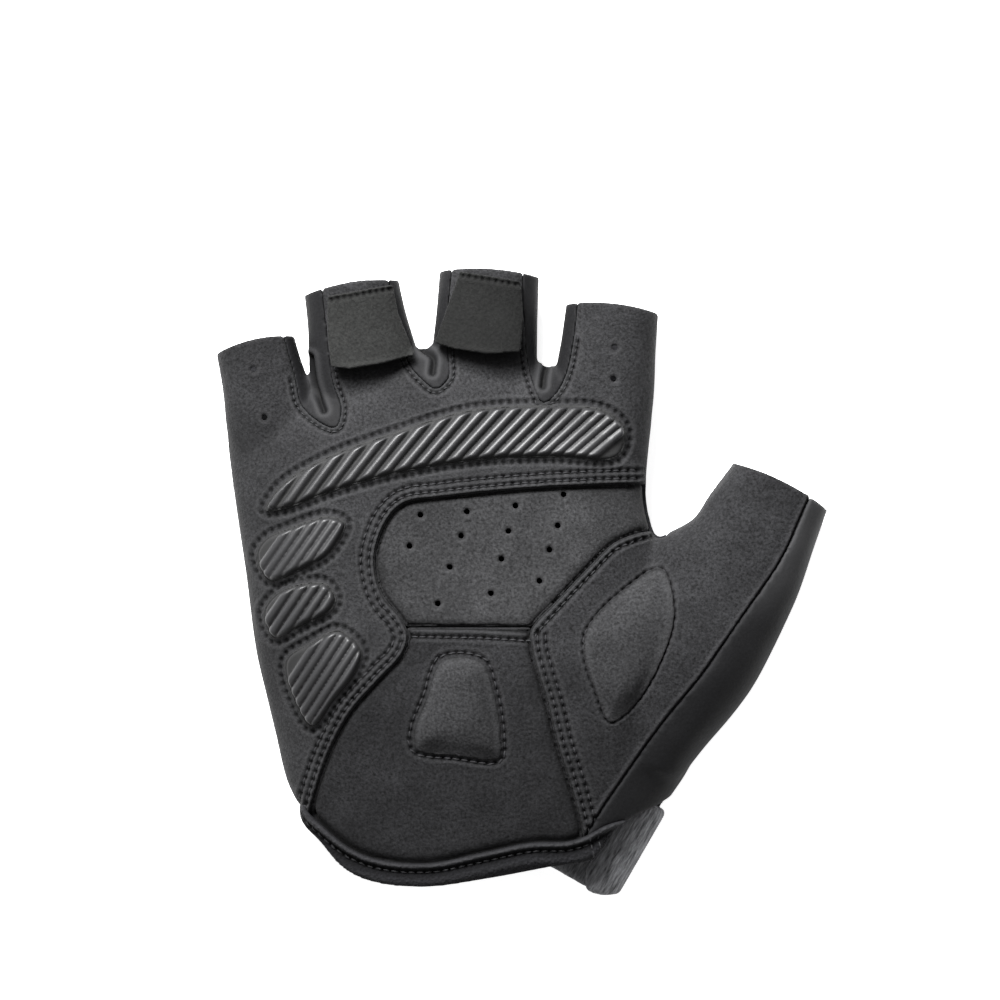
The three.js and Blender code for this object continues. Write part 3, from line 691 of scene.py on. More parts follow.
class Work:
    """One closed mesh being worked, from a primitive to a finished piece."""

    plan = Plan()
    fine = 1.0

    def __init__(self, body: bpy.types.Object) -> None:
        """Takes the object that is worked."""
        self.body = body

    @classmethod
    def rolled(
        cls, name: str, sides: int, steps: int, place: Callable[[float, float], Sequence[float]]
    ) -> "Work":
        """Rolls a grid into a closed form.

        Args:
            name: The object's name.
            sides: The faces round it.
            steps: The faces along it.
            place: Gives a point in millimetres from the share round and the share along.

        Returns:
            The form.
        """
        deselect()
        bpy.ops.mesh.primitive_grid_add(x_subdivisions=sides, y_subdivisions=steps, size=1)
        form = bpy.context.object
        form.name = name
        for vertex in form.data.vertices:
            around, along = vertex.co.x + 0.5, vertex.co.y + 0.5
            vertex.co = Vector(place(around % 1 if around < 0.9999 else 0.0, along)) * MM
        with edit_mode(form):
            bpy.ops.mesh.remove_doubles(threshold=1e-6)
            bpy.ops.mesh.fill_holes(sides=0)
            bpy.ops.mesh.select_all(action="SELECT")
            bpy.ops.mesh.normals_make_consistent(inside=False)
        return cls(form)

    @classmethod
    def block(cls, outline: np.ndarray, low: float = GROUND, high: float = TALL) -> "Work":
        """A straight-sided block over an outline, between two heights.

        Args:
            outline: The outline's points in millimetres.
            low: The height of its underside.
            high: The height of its top.

        Returns:
            The block.
        """
        deselect()
        bpy.ops.mesh.primitive_circle_add(vertices=len(outline), radius=MM)
        block = bpy.context.object
        for vertex, (x, y) in zip(block.data.vertices, outline):
            vertex.co = (x * MM, y * MM, low * MM)
        with edit_mode(block):
            bpy.ops.mesh.edge_face_add()
            bpy.ops.mesh.extrude_region_move(TRANSFORM_OT_translate={"value": (0, 0, (high - low) * MM)})
            bpy.ops.mesh.select_all(action="SELECT")
            bpy.ops.mesh.normals_make_consistent(inside=False)
        return cls(block)

    @classmethod
    def kerf(cls, line: np.ndarray, low: float = GROUND, high: float = TALL, width: float = 0.14) -> "Work":
        """The narrow block that parts two panels along a seam."""
        return cls.block(np.vstack([beside(line, width / 2), beside(line, -width / 2)[::-1]]), low, high)

    @classmethod
    def punches(cls, places: Outline, diameter: float, low: float = SIDE_SEAM_HEIGHT) -> "Work":
        """A row of round punches that stand at places given as shares."""
        made = []
        for place in places:
            deselect()
            x, y = cls.plan.spot(place)
            bpy.ops.mesh.primitive_cylinder_add(
                vertices=20,
                radius=diameter / 2 * MM,
                depth=(TALL - low) * MM,
                location=(x * MM, y * MM, (TALL + low) / 2 * MM),
            )
            made.append(bpy.context.object)
        take(*made)
        bpy.ops.object.join()
        bpy.ops.object.transform_apply(location=True, rotation=True, scale=True)
        return cls(made[0])

    def copy(self, name: str = "work") -> "Work":
        """The same form again, with its own mesh."""
        twin = self.body.copy()
        twin.data = self.body.data.copy()
        twin.name = name
        bpy.context.scene.collection.objects.link(twin)
        return Work(twin)

    def carve(self, operation: str, tools: Sequence["Work"]) -> "Work":
        """Applies the same boolean with each tool in turn."""
        for tool in tools:
            apply_modifier(self.body, "BOOLEAN", operation=operation, solver="MANIFOLD", object=tool.body)
        return self

    def cut(self, *tools: "Work") -> "Work":
        """Takes each tool's space away."""
        return self.carve("DIFFERENCE", tools)

    def keep(self, *tools: "Work") -> "Work":
        """Keeps only what lies inside each tool."""
        return self.carve("INTERSECT", tools)

    def add(self, *tools: "Work") -> "Work":
        """Joins each tool's space on."""
        return self.carve("UNION", tools)

    def remesh(self, voxel: float) -> "Work":
        """Makes the form one even skin of small faces, with its corners a little rounded."""
        apply_modifier(
            self.body, "REMESH", mode="VOXEL", voxel_size=voxel * Work.fine * MM, use_smooth_shade=True
        )
        return self

    def smooth(self, factor: float, times: int) -> "Work":
        """Evens the skin out."""
        if times:
            apply_modifier(self.body, "SMOOTH", factor=factor, iterations=times)
        return self

    def swell(self, by: float) -> "Work":
        """Moves the skin along its normals by a distance in millimetres."""
        if by:
            apply_modifier(
                self.body, "DISPLACE", direction="NORMAL", mid_level=0, strength=by * MM
            )
        return self

    def without_specks(self, least: int = 60) -> "Work":
        """Drops the small loose bits that crossing cuts leave."""
        mesh = bmesh.new()
        mesh.from_mesh(self.body.data)
        mesh.verts.ensure_lookup_table()
        seen = np.zeros(len(mesh.verts), bool)
        loose = []
        for start in mesh.verts:
            if seen[start.index]:
                continue
            seen[start.index] = True
            island, front = [start], [start]
            while front:
                vertex = front.pop()
                for edge in vertex.link_edges:
                    other = edge.other_vert(vertex)
                    if not seen[other.index]:
                        seen[other.index] = True
                        island.append(other)
                        front.append(other)
            if len(island) < least:
                loose.extend(island)
        if loose:
            bmesh.ops.delete(mesh, geom=loose, context="VERTS")
            mesh.to_mesh(self.body.data)
        mesh.free()
        return self

    def shift(self, by: np.ndarray, way: np.ndarray | None = None) -> "Work":
        """Moves each vertex by its own distance in millimetres, along its normal or a given way."""
        way = directions(self.body) if way is None else way
        put_back(self.body, coordinates(self.body) + way * (by * MM)[:, None])
        return self

    def points(self) -> np.ndarray:
        """The vertices in millimetres."""
        return coordinates(self.body) / MM

    def facing_up(self, low: float = 0.1, high: float = 0.45) -> np.ndarray:
        """A share for each vertex of how much its skin faces up out of the palm."""
        return ramp(directions(self.body)[:, 2], low, high)

    def paint(self, name: str, values: np.ndarray) -> "Work":
        """Keeps a value for each vertex as an attribute that a finish can read."""
        attribute = self.body.data.attributes.new(name, "FLOAT", "POINT")
        attribute.data.foreach_set("value", np.ascontiguousarray(values, np.float32))
        return self


# The form of the hand


@dataclass(frozen=True)
class Wearing:
    """Which skin of the hand a form is: the outside, or the hollow that the hand goes into."""

    skin: float = 0.0
    lining: float = 0.0


OUTSIDE = Wearing()
HOLLOW = Wearing(-WALL, BACK_WALL)


def ground_at(y: float) -> float:
    """The height of the back over the ground, where the strap lies under the wrist."""
    return (STRAP_THICKNESS + SEAM_GAP) * float(1 - ramp(y / PALM_LENGTH, *BACK_LIFT_ENDS))


def swell_at(x: float, y: float) -> float:
    """How far the palm's face is pressed in or swells out at a place."""
    total = 0.0
    for swell in SWELLS:
        gap = math.hypot(x - swell["u"] * PALM_BREADTH, y - swell["v"] * PALM_LENGTH)
        away = gap / (swell["reach"] * PALM_BREADTH)
        total += swell["height"] * math.exp(-away * away * SWELL_FALL)
    return total


@dataclass(frozen=True)
class Section:
    """One cross-section of a form, flat underneath where it meets the ground."""

    centre: np.ndarray
    across: np.ndarray
    left: float
    right: float
    low: float
    top: float
    level: float

    def point(self, around: float, wearing: Wearing) -> list[float]:
        """The section's point at a share of the way round it.

        Args:
            around: The share of the way round.
            wearing: Which skin of the hand it is for.

        Returns:
            The point in millimetres.
        """
        c, s = math.cos(2 * math.pi * around), math.sin(2 * math.pi * around)
        power = 2 / (ROUNDED_TOP if s >= 0 else ROUNDED_BOTTOM)
        reach = (self.right if c >= 0 else self.left) + wearing.skin
        x, y = self.centre + self.across * (math.copysign(abs(c) ** power, c) * reach)
        widest = self.low + (self.top - self.low) * self.level
        rise = abs(s) ** power
        if s >= 0:
            z = widest + rise * (self.top - widest + wearing.skin + swell_at(x, y))
        else:
            z = widest - rise * ((widest - self.low) * BOTTOM_FULLNESS + wearing.skin)
        return [x, y, max(z, max(self.low, ground_at(y)) + wearing.lining)]


@dataclass
class Hand:
    """The form of the hand that the panels are cut from, and the blocks that trim its mouths."""

    palm_sides: int = 96
    palm_steps: int = 56
    stall_sides: int = 56
    stall_steps: int = 26
    thumb_sides: int = 64
    thumb_steps: int = 44
    voxel: float = 0.9
    evening: int = 7

    def palm(self, wearing: Wearing) -> Work:
        """The palm between the cuff and the forks, run out past the cuff."""
        little, thumb, deep = (smooth_column(PALM_SECTIONS, name) for name in ("little", "thumb", "deep"))
        cuff, fork = smooth_column(CUFF_EDGE, "v"), smooth_column(FORK_LINE, "v")

        def place(around: float, along: float) -> list[float]:
            """A point of the palm."""
            at = (1 - math.cos(math.pi * along)) / 2
            a, b = little(at), thumb(at)
            half = (b - a) * PALM_BREADTH / 2
            middle = np.array([(a + b) * PALM_BREADTH / 2, at * PALM_LENGTH])
            top = deep(at) * PALM_DEPTH
            section = Section(middle, np.array([1.0, 0.0]), half, half, 0, top, WIDEST_LEVEL)
            x, _, z = section.point(around, wearing)
            near = cuff(x / PALM_BREADTH) * PALM_LENGTH - PAST_MOUTH
            far = fork(x / PALM_BREADTH) * PALM_LENGTH + wearing.skin
            return [x, near + (far - near) * at, z]

        return Work.rolled("palm", self.palm_sides, self.palm_steps, place)

    def stall(self, finger: Finger, wearing: Wearing) -> Work:
        """One finger stall, from its tail in the palm out past its rim."""
        spread, deep, lift = (smooth_column(STALL_SECTIONS, name) for name in ("spread", "deep", "lift"))
        up, across, rim = self.stall_axes(finger)
        whole = finger.length + STALL_TAIL + wearing.skin

        def place(around: float, along: float) -> list[float]:
            """A point of the stall."""
            at = -PAST_MOUTH / whole + along * (1 + PAST_MOUTH / whole)
            inside = max(at, 0)
            half = finger.width / 2 * (1 + (finger.flare - 1) * spread(inside))
            low = lift(inside) * finger.depth
            top = low + deep(inside) * finger.depth
            section = Section(rim - up * at * whole, across, half, half, low, top, STALL_WIDEST_LEVEL)
            return section.point(around, wearing)

        return Work.rolled("stall", self.stall_sides, self.stall_steps, place)

    def thumb(self, wearing: Wearing) -> Work:
        """The thumb, leaning out of the palm and run out past its rim."""
        names = ("outer", "inner", "deep", "lift")
        wide, narrow, deep, lift = (smooth_column(THUMB_SECTIONS, name) for name in names)
        up, across, base = self.thumb_axes()

        def place(around: float, along: float) -> list[float]:
            """A point of the thumb."""
            at = along * (1 + PAST_MOUTH / THUMB_LENGTH)
            inside = min(at, 1)
            low = lift(inside) * THUMB_DEPTH
            section = Section(
                base + up * (at * THUMB_LENGTH - (wearing.skin if along == 0 else 0)),
                across,
                narrow(inside) * THUMB_WIDTH / 2,
                wide(inside) * THUMB_WIDTH / 2,
                low,
                low + deep(inside) * THUMB_DEPTH,
                STALL_WIDEST_LEVEL,
            )
            return section.point(around, wearing)

        return Work.rolled("thumb", self.thumb_sides, self.thumb_steps, place)

    @staticmethod
    def stall_axes(finger: Finger) -> tuple[np.ndarray, np.ndarray, np.ndarray]:
        """The way up a stall, the way across it, and the middle of its rim."""
        lean = math.radians(finger.lean)
        up = np.array([-math.sin(lean), math.cos(lean)])
        across = np.array([up[1], -up[0]])
        return up, across, Work.plan.spot((finger.u, finger.v)) + up * finger.length

    @staticmethod
    def thumb_axes() -> tuple[np.ndarray, np.ndarray, np.ndarray]:
        """The way up the thumb, the way across it, and the middle of its base."""
        lean = math.radians(THUMB_LEAN)
        up = np.array([math.sin(lean), math.cos(lean)])
        return up, np.array([up[1], -up[0]]), Work.plan.spot(THUMB_BASE)

    def form(self, wearing: Wearing) -> Work:
        """The whole hand as one even skin."""
        parts = [self.palm(wearing), self.thumb(wearing)]
        parts += [self.stall(finger, wearing) for finger in FINGERS.values()]
        take(*(part.body for part in parts))
        bpy.ops.object.join()
        return parts[0].remesh(self.voxel).smooth(0.5, self.evening)

    def mouth_blocks(self) -> list[Work]:
        """Blocks that trim the finger rims, the thumb rim and the cuff."""
        blocks = []
        for finger in FINGERS.values():
            up, across, rim = self.stall_axes(finger)
            blocks.append(self.rim_block(up, across, rim, finger.width / 2))
        up, across, base = self.thumb_axes()
        blocks.append(self.rim_block(up, across, base + up * THUMB_LENGTH, THUMB_WIDTH / 2))
        cuff = smooth_column(CUFF_EDGE, "v")
        first, last = CUFF_EDGE[0]["at"], CUFF_EDGE[-1]["at"]
        edge = [(u, cuff(u)) for u in (LITTLE_BOUND, *np.linspace(first, last, 40), THUMB_BOUND)]
        corners = ((THUMB_BOUND, CUFF_BOUND), (LITTLE_BOUND, CUFF_BOUND))
        blocks.append(Work.block(Work.plan.outline([*edge, *corners])))
        return blocks

    @staticmethod
    def rim_block(up: np.ndarray, across: np.ndarray, rim: np.ndarray, half: float) -> Work:
        """A block beyond a rim, whose near side follows the rim's shallow bow."""
        shares = np.linspace(-RIM_REACH, RIM_REACH, 21)
        near = [rim + across * half * t + up * RIM_BOW * max(1 - t * t, 0) for t in shares]
        far = [rim + across * half * t + up * RIM_CLEAR for t in (RIM_REACH, -RIM_REACH)]
        return Work.block(np.array([*near, *far]))


# Finishes


Value = float | Sequence[float] | bpy.types.NodeSocket


@dataclass
class Nodes:
    """Adds nodes to one material's tree and joins them."""

    tree: bpy.types.NodeTree

    def fill(self, node: bpy.types.Node, inputs: dict[str | int, Value]) -> None:
        """Sets a node's inputs, or links them where the value is a socket."""
        for key, value in inputs.items():
            if isinstance(value, bpy.types.NodeSocket):
                self.tree.links.new(value, node.inputs[key])
            else:
                node.inputs[key].default_value = value

    def add(
        self, kind: str, output: str | int, inputs: dict[str | int, Value], **settings: object
    ) -> bpy.types.NodeSocket:
        """Adds a shader node.

        Args:
            kind: The node's kind, without Blender's prefix.
            output: The output that is wanted.
            inputs: What goes into it.
            settings: The node's own settings.

        Returns:
            The output's socket.
        """
        node = self.tree.nodes.new(f"ShaderNode{kind}")
        for key, value in settings.items():
            setattr(node, key, value)
        self.fill(node, inputs)
        return node.outputs[output]

    def noise(self, place: Value, scale: float, detail: float, rough: float) -> bpy.types.NodeSocket:
        """A noise texture's value."""
        inputs = {"Vector": place, "Scale": scale, "Detail": detail, "Roughness": rough}
        return self.add("TexNoise", "Fac", inputs)

    def spread(self, value: Value, low: float, high: float, ends: Place = (0.3, 0.7)) -> bpy.types.NodeSocket:
        """Spreads a value between two ends over a range."""
        inputs = {"Value": value, "From Min": ends[0], "From Max": ends[1], "To Min": low, "To Max": high}
        return self.add("MapRange", "Result", inputs)

    def attribute(self, name: str) -> bpy.types.NodeSocket:
        """A vertex value's socket."""
        return self.add("Attribute", "Fac", {}, attribute_name=name)

    def mix(self, way: str, factor: Value, a: Value, b: Value) -> bpy.types.NodeSocket:
        """Mixes two colours."""
        return self.add("Mix", 2, {0: factor, 6: a, 7: b}, data_type="RGBA", blend_type=way)


# How far painted highlights lighten the leather, the scale of its patches, and that of its creases as a share
# of its grain
HIGHLIGHT_GAIN, HIGHLIGHT_LIFT = 2.1, 0.018
PATCH_SCALE = 75
CREASE_SHARE = 0.12

# The scale and randomness of a weave's cells, and how deep the fine relief is, in millimetres
CELLS = {Weave.MESH: (900, 0.25), Weave.TERRY: (1300, 0.8)}
RELIEF_DEPTH = 0.35


@dataclass(frozen=True)
class Finish:
    """One material: its colour, how rough it is, and its fine relief."""

    name: str
    colour: tuple[float, float, float]
    weave: Weave
    roughness: float = 0.85
    worn: float = 0.45
    dark: float = 0.88
    relief: float = 0.7
    grain: float = 1500.0
    sheen: float = 0.0
    gloss: float = 0.3
    polished: float = 0.3
    fibres: float | None = None

    def material(self) -> bpy.types.Material:
        """Builds the node material.

        Returns:
            The material.
        """
        made = bpy.data.materials.new(self.name)
        made.use_nodes = True
        nodes = Nodes(made.node_tree)
        place = self.along_fibres(nodes, nodes.add("TexCoord", "Object", {}))
        patches = self.worn * 0.3
        cloud = nodes.spread(nodes.noise(place, PATCH_SCALE, 4, 0.6), 1 - patches, 1 + patches)
        speckle = nodes.spread(nodes.noise(place, self.grain, 3, 0.75), 1 - self.worn, 1 + self.worn)
        lit = nodes.mix("MULTIPLY", 1.0, (*self.colour, 1), cloud)
        lit = nodes.mix("MULTIPLY", 1.0, lit, speckle)
        # One vertex value mixes in a lighter colour as painted highlight, another mixes in a darker one as
        # painted shade
        lighter = (*(min(c * HIGHLIGHT_GAIN + HIGHLIGHT_LIFT, 1) for c in self.colour), 1)
        lit = nodes.mix("MIX", nodes.attribute("painted_highlight"), lit, lighter)
        darker = (*(c * (1 - self.dark) for c in self.colour), 1)
        lit = nodes.mix("MIX", nodes.attribute("shade"), lit, darker)
        rough = nodes.spread(nodes.attribute("polish"), self.roughness, self.polished, (0, 1))
        height = self.fine_relief(nodes, place)
        relief = {"Strength": self.relief, "Distance": RELIEF_DEPTH * MM, "Height": height}
        nodes.fill(
            made.node_tree.nodes["Principled BSDF"],
            {
                "Specular IOR Level": self.gloss,
                "Sheen Weight": self.sheen,
                "Sheen Roughness": 0.5,
                "Base Color": lit,
                "Roughness": rough,
                "Normal": nodes.add("Bump", "Normal", relief),
            },
        )
        return made

    def along_fibres(self, nodes: Nodes, place: bpy.types.NodeSocket) -> bpy.types.NodeSocket:
        """Draws the texture's place out along the fibres, where the finish has a direction."""
        if self.fibres is None:
            return place
        turned = {"Vector": place, "Rotation": (0, 0, math.radians(self.fibres)), "Scale": (5, 1, 1)}
        return nodes.add("Mapping", "Vector", turned, vector_type="TEXTURE")

    def fine_relief(self, nodes: Nodes, place: bpy.types.NodeSocket) -> bpy.types.NodeSocket:
        """The height of the finish's grain, weave or loops."""
        fibres = nodes.noise(place, self.grain, 3, 0.65)
        creases = nodes.noise(place, self.grain * CREASE_SHARE, 4, 0.55)
        height = nodes.mix("ADD", 0.6, fibres, creases)
        if self.weave not in CELLS:
            return height
        scale, randomness = CELLS[self.weave]
        cells = {"Vector": place, "Scale": scale, "Randomness": randomness}
        return nodes.mix("MIX", 0.75, height, nodes.add("TexVoronoi", "Distance", cells))


def suede(name: str, colour: tuple[float, float, float], worn: float = 0.75) -> Finish:
    """A matt, suede-like synthetic leather."""
    return Finish(name, colour, Weave.SUEDE, worn=worn, gloss=0.12, sheen=0.02)


FINISHES = {
    Slot.LEATHER: suede("charcoal_suede", (0.01596, 0.01596, 0.01687)),
    Slot.PERFORATED: suede("perforated_suede", (0.02052, 0.02052, 0.02143)),
    Slot.HEEL: suede("heel_suede", (0.01044, 0.01044, 0.01123), 0.85),
    Slot.THENAR: suede("thumb_ball_suede", (0.01332, 0.01332, 0.01426), 0.85),
    Slot.PAD: suede("moulded_pad", (0.01849, 0.01849, 0.01944)),
    Slot.STRETCH: Finish(
        "stretch_fabric", (0.006, 0.006, 0.0066), Weave.SMOOTH, roughness=0.75, worn=0.35, relief=0.3,
        gloss=0.15,
    ),
    Slot.KNIT: Finish("knit_mesh", (0.012, 0.012, 0.0135), Weave.MESH, worn=0.4, relief=0.8, gloss=0.15),
    Slot.BINDING: Finish(
        "knit_binding", (0.0052, 0.0052, 0.0061), Weave.TERRY, roughness=0.9, worn=0.7, relief=0.9, gloss=0.12
    ),
    Slot.SILICONE: Finish(
        "glossy_grip", (0.0108, 0.0108, 0.0118), Weave.SMOOTH, roughness=0.8, worn=0.2, relief=0.1,
        gloss=0.55, polished=0.48,
    ),
    Slot.STRAP: Finish(
        "looped_strap", (0.13, 0.131, 0.137), Weave.TERRY, worn=0.75, relief=1.0, grain=1100.0,
        gloss=0.15, fibres=60,
    ),
}  # fmt: skip
# Painted shade laid over the whole of each pull flap
TAB_SHADES = {"pull_tab_ring": 0.0, "pull_tab_middle": 0.55}
THREAD_FINISH = Finish(
    "thread", (0.018, 0.018, 0.0194), Weave.SMOOTH, roughness=0.7, worn=0.3, relief=0.3, gloss=0.2
)
FLAP_FINISH = suede("flap_suede", (0.0118, 0.012, 0.0116), 0.6)


@dataclass
class Wardrobe:
    """Gives each piece its finish, its body and the CAD nodes that it stands for."""

    made: dict[Finish, bpy.types.Material] = field(default_factory=dict)
    pieces: list[bpy.types.Object] = field(default_factory=list)
    faces: int = 0

    def material(self, finish: Finish) -> bpy.types.Material:
        """The finish's material, built the first time that it is asked for."""
        if finish not in self.made:
            self.made[finish] = finish.material()
        return self.made[finish]

    def dress(
        self, work: Work, name: str, slot: Slot, *nodes: str, finish: Finish | None = None
    ) -> bpy.types.Object:
        """Names a piece, gives it its finish and hands it to the frame.

        Args:
            work: The finished mesh.
            name: The piece's name.
            slot: The record's material slot.
            nodes: The CAD nodes that it replaces.
            finish: The finish, where it isn't the slot's own.

        Returns:
            The piece.
        """
        piece = work.body
        piece.name = name
        piece.data.name = name
        # Vertex values for painted highlight, painted shade and polish, left at nothing where none is painted
        for attribute in ("painted_highlight", "shade", "polish"):
            if attribute not in piece.data.attributes:
                piece.data.attributes.new(attribute, "FLOAT", "POINT")
        piece.data.materials.clear()
        piece.data.materials.append(self.material(finish or FINISHES[slot]))
        take(piece)
        bpy.ops.object.shade_smooth()
        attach(piece, "root")
        if nodes:
            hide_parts(*nodes)
        self.pieces.append(piece)
        count = sum(len(face.vertices) - 2 for face in piece.data.polygons)
        self.faces += count
        LOG.info("%s: %d triangles", name, count)
        return piece


def palm_origin() -> np.ndarray:
    """Where the palm's own zero lies in the frame, in metres."""
    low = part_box("pull_tab_middle")[0]
    corner = Work.plan.spot(TAB_CORNER) * MM
    return np.array([low[0] - corner[0], low[1] - corner[1], 0])


# The sewn parts


@dataclass(frozen=True)
class Ridge:
    """A rise along a line, or a groove: its height, how far off the line it lies, and its width."""

    height: float
    off: float
    width: float

    def over(self, gap: np.ndarray) -> np.ndarray:
        """Its height at a distance from the line."""
        return self.height * bell(gap - self.off, self.width)


# Relief in millimetres along seams, rows, holes, folds, the band and the pads, with the strengths of the
# painted shade and painted highlights beside them
LAPPED_RISE, LAPPED_DIP = Ridge(0.3, 0.8, 0.5), Ridge(-0.5, 0, 0.4)
LAPPED_SHADE, LAPPED_HIGHLIGHT = Ridge(1, 0, 0.3), Ridge(0.3, 0.8, 0.45)
UNDER_DIP, UNDER_SHADE, UNDER_WIDE_SHADE = Ridge(-0.7, 0, 1.1), Ridge(1, 0, 1), Ridge(0.4, 0, 2.6)
ROW_SHOULDER, ROW_HIGHLIGHT, FLAP_SHADOW = Ridge(0.14, 1, 0.5), Ridge(0.2, 0.95, 0.4), Ridge(0.75, 0, 2.2)
HOLE_DIP, HOLE_LIP = Ridge(-0.35, 0, 0.95), Ridge(0.12, 1.5, 0.5)
HOLE_SHADE, HOLE_HIGHLIGHT = Ridge(1, 0, 0.8), Ridge(0.16, 1.35, 0.45)
FOLD, FOLD_RIM = Ridge(1, 0, 0.55), Ridge(1, 1.5, 0.7)
BAND_RIDGES = (Ridge(0.45, 0.8, 0.5), Ridge(-0.6, 2.2, 0.8), Ridge(0.5, 4.4, 1.1))
BAND_HIGHLIGHTS = (Ridge(0.9, 0.75, 0.4), Ridge(0.25, 4.3, 0.8))
HEM_DIP, HEM_SHADE = Ridge(-0.3, 0, 0.5), Ridge(0.5, 0, 0.35)
PAD_SHADE, PAD_HIGHLIGHT = Ridge(0.5, 0, 0.45), Ridge(0.15, 1.4, 0.7)


@dataclass(frozen=True)
class StitchRow:
    """A row of stitches along a line."""

    line: np.ndarray
    closed: bool = False
    pitch: float = 1.95
    groove: float = 0.22


@dataclass
class Seams:
    """The glove's seam lines and rows of stitches, with the relief that they press into the leather."""

    near_row: float = 1.45
    far_row: float = 3.3
    needle: float = 0.5
    needle_reach: float = 0.9
    needle_depth: float = 0.45
    groove_width: float = 0.55
    little_shade: float = 0.2
    hem: float = 0.95
    hem_pitch: float = 1.6
    thenar_rows: tuple[float, float] = (1.6, 3.5)
    heel_row: float = 2.2
    cuff_row: float = 2.1
    cuff_groove: float = 0.2
    strip_row: float = 0.95
    strip_pitch: float = 1.5
    strip_groove: float = 0.1
    grip_row: float = 0.9
    pad_row: float = 0.5
    pad_pitch: float = 2.05
    lines: dict[str, np.ndarray] = field(default_factory=dict)
    stitching: dict[str, StitchRow] = field(default_factory=dict)

    def __post_init__(self) -> None:
        """Works the lines out from their shares."""
        plan = Work.plan
        self.lines = {name: plan.curve(places) for name, places in SEAMS.items()}
        self.lines["heel"] = plan.curve(HEEL_SEAM)
        finger = self.on_palm(self.lines["finger_panel"])
        self.stitching["finger_near"] = StitchRow(beside(finger, self.near_row))
        self.stitching["finger_far"] = StitchRow(beside(finger, self.far_row))
        upper = plan.curve(SEAMS["thenar"][2:8])
        lower = plan.curve(SEAMS["thenar"][7:15])
        self.stitching["thenar_upper"] = StitchRow(beside(upper, -self.thenar_rows[0]))
        self.stitching["thenar_lower_near"] = StitchRow(beside(lower, -self.thenar_rows[0]))
        self.stitching["thenar_lower_far"] = StitchRow(beside(lower, -self.thenar_rows[1]))
        self.stitching["heel_seam"] = StitchRow(beside(self.lines["heel"], self.heel_row))
        binding = plan.curve(SEAMS["binding"][2:11])
        self.stitching["cuff"] = StitchRow(beside(binding, self.cuff_row), groove=self.cuff_groove)
        for name, places in FOURCHETTES.items():
            edge = beside(plan.curve(places[1:-1]), self.strip_row)
            self.stitching[name] = StitchRow(edge, pitch=self.strip_pitch, groove=self.strip_groove)
        for name, outline in PULL_TABS.items():
            hem = beside(plan.outline(outline[:2]), self.hem)
            self.stitching[name] = StitchRow(np.linspace(hem[0], hem[1], 12), pitch=self.hem_pitch)
        for name, grip in GRIPS.items():
            edge = plan.curve(grip.outline, True)
            self.stitching[name] = StitchRow(beside(edge, -self.grip_row, True), True)
        for name, outline in (("heel_pad", HEEL_PAD), ("thenar_pad", THENAR_PAD)):
            edge = plan.curve(outline, True)
            self.stitching[name] = StitchRow(beside(edge, -self.pad_row, True), True, self.pad_pitch)

    @staticmethod
    def on_palm(line: np.ndarray) -> np.ndarray:
        """The stretch of a seam that lies on the glove."""
        u, v = line[:, 0] / PALM_BREADTH, line[:, 1] / PALM_LENGTH
        return line[(u < 0.49) & (v > 0.1)]

    def press(self, work: Work, front: Front) -> None:
        """Presses seam edges, rows of stitches and the rims of holes into a palm panel."""
        points = work.points()
        up = work.facing_up()
        depth = np.zeros(len(points), np.float32)
        shade = np.zeros(len(points), np.float32)
        painted_highlight = np.zeros(len(points), np.float32)
        # Painted shade in each seam; a lapped edge also gets a painted highlight on its raised welt, an
        # underlying edge a wider painted shadow from the panel over it
        for name, over in front.edges.items():
            gap, _ = away_from(points, self.lines[name])
            if over:
                depth += LAPPED_RISE.over(gap) + LAPPED_DIP.over(gap)
                shade = np.maximum(shade, LAPPED_SHADE.over(gap))
                painted_highlight = np.maximum(painted_highlight, LAPPED_HIGHLIGHT.over(gap))
            else:
                depth += UNDER_DIP.over(gap)
                shade = np.maximum(shade, np.maximum(UNDER_SHADE.over(gap), UNDER_WIDE_SHADE.over(gap)))
        # Painted highlight on the raised shoulders beside each row of stitches
        for name in front.rows:
            row = self.stitching[name]
            gap, _ = away_from(points, row.line, row.closed)
            depth += ROW_SHOULDER.over(gap) - row.groove * bell(gap, self.groove_width)
            painted_highlight = np.maximum(painted_highlight, ROW_HIGHLIGHT.over(gap))
        if front.between_stalls:
            for outline in PULL_TABS.values():
                gap, _ = away_from(points, Work.plan.curve(outline[3:7]))
                shade = np.maximum(shade, FLAP_SHADOW.over(gap))
        # Painted shade in each hole and a painted highlight on its rim
        for place in front.holes:
            gap = np.linalg.norm(points[:, :2] - Work.plan.spot(place), axis=1)
            depth += HOLE_DIP.over(gap) + HOLE_LIP.over(gap)
            shade = np.maximum(shade, HOLE_SHADE.over(gap))
            painted_highlight = np.maximum(painted_highlight, HOLE_HIGHLIGHT.over(gap))
        # Painted shade towards the little finger's side
        little_side = ramp(-points[:, 0] / PALM_BREADTH, *LITTLE_SIDE)
        shade = np.maximum(shade, self.little_shade * little_side)
        depth += self.soft_waves(points)
        work.shift(depth * up)
        self.prick(work, front.rows, shade)
        work.paint("shade", np.clip(shade, 0, 1) * up).paint("painted_highlight", painted_highlight * up)

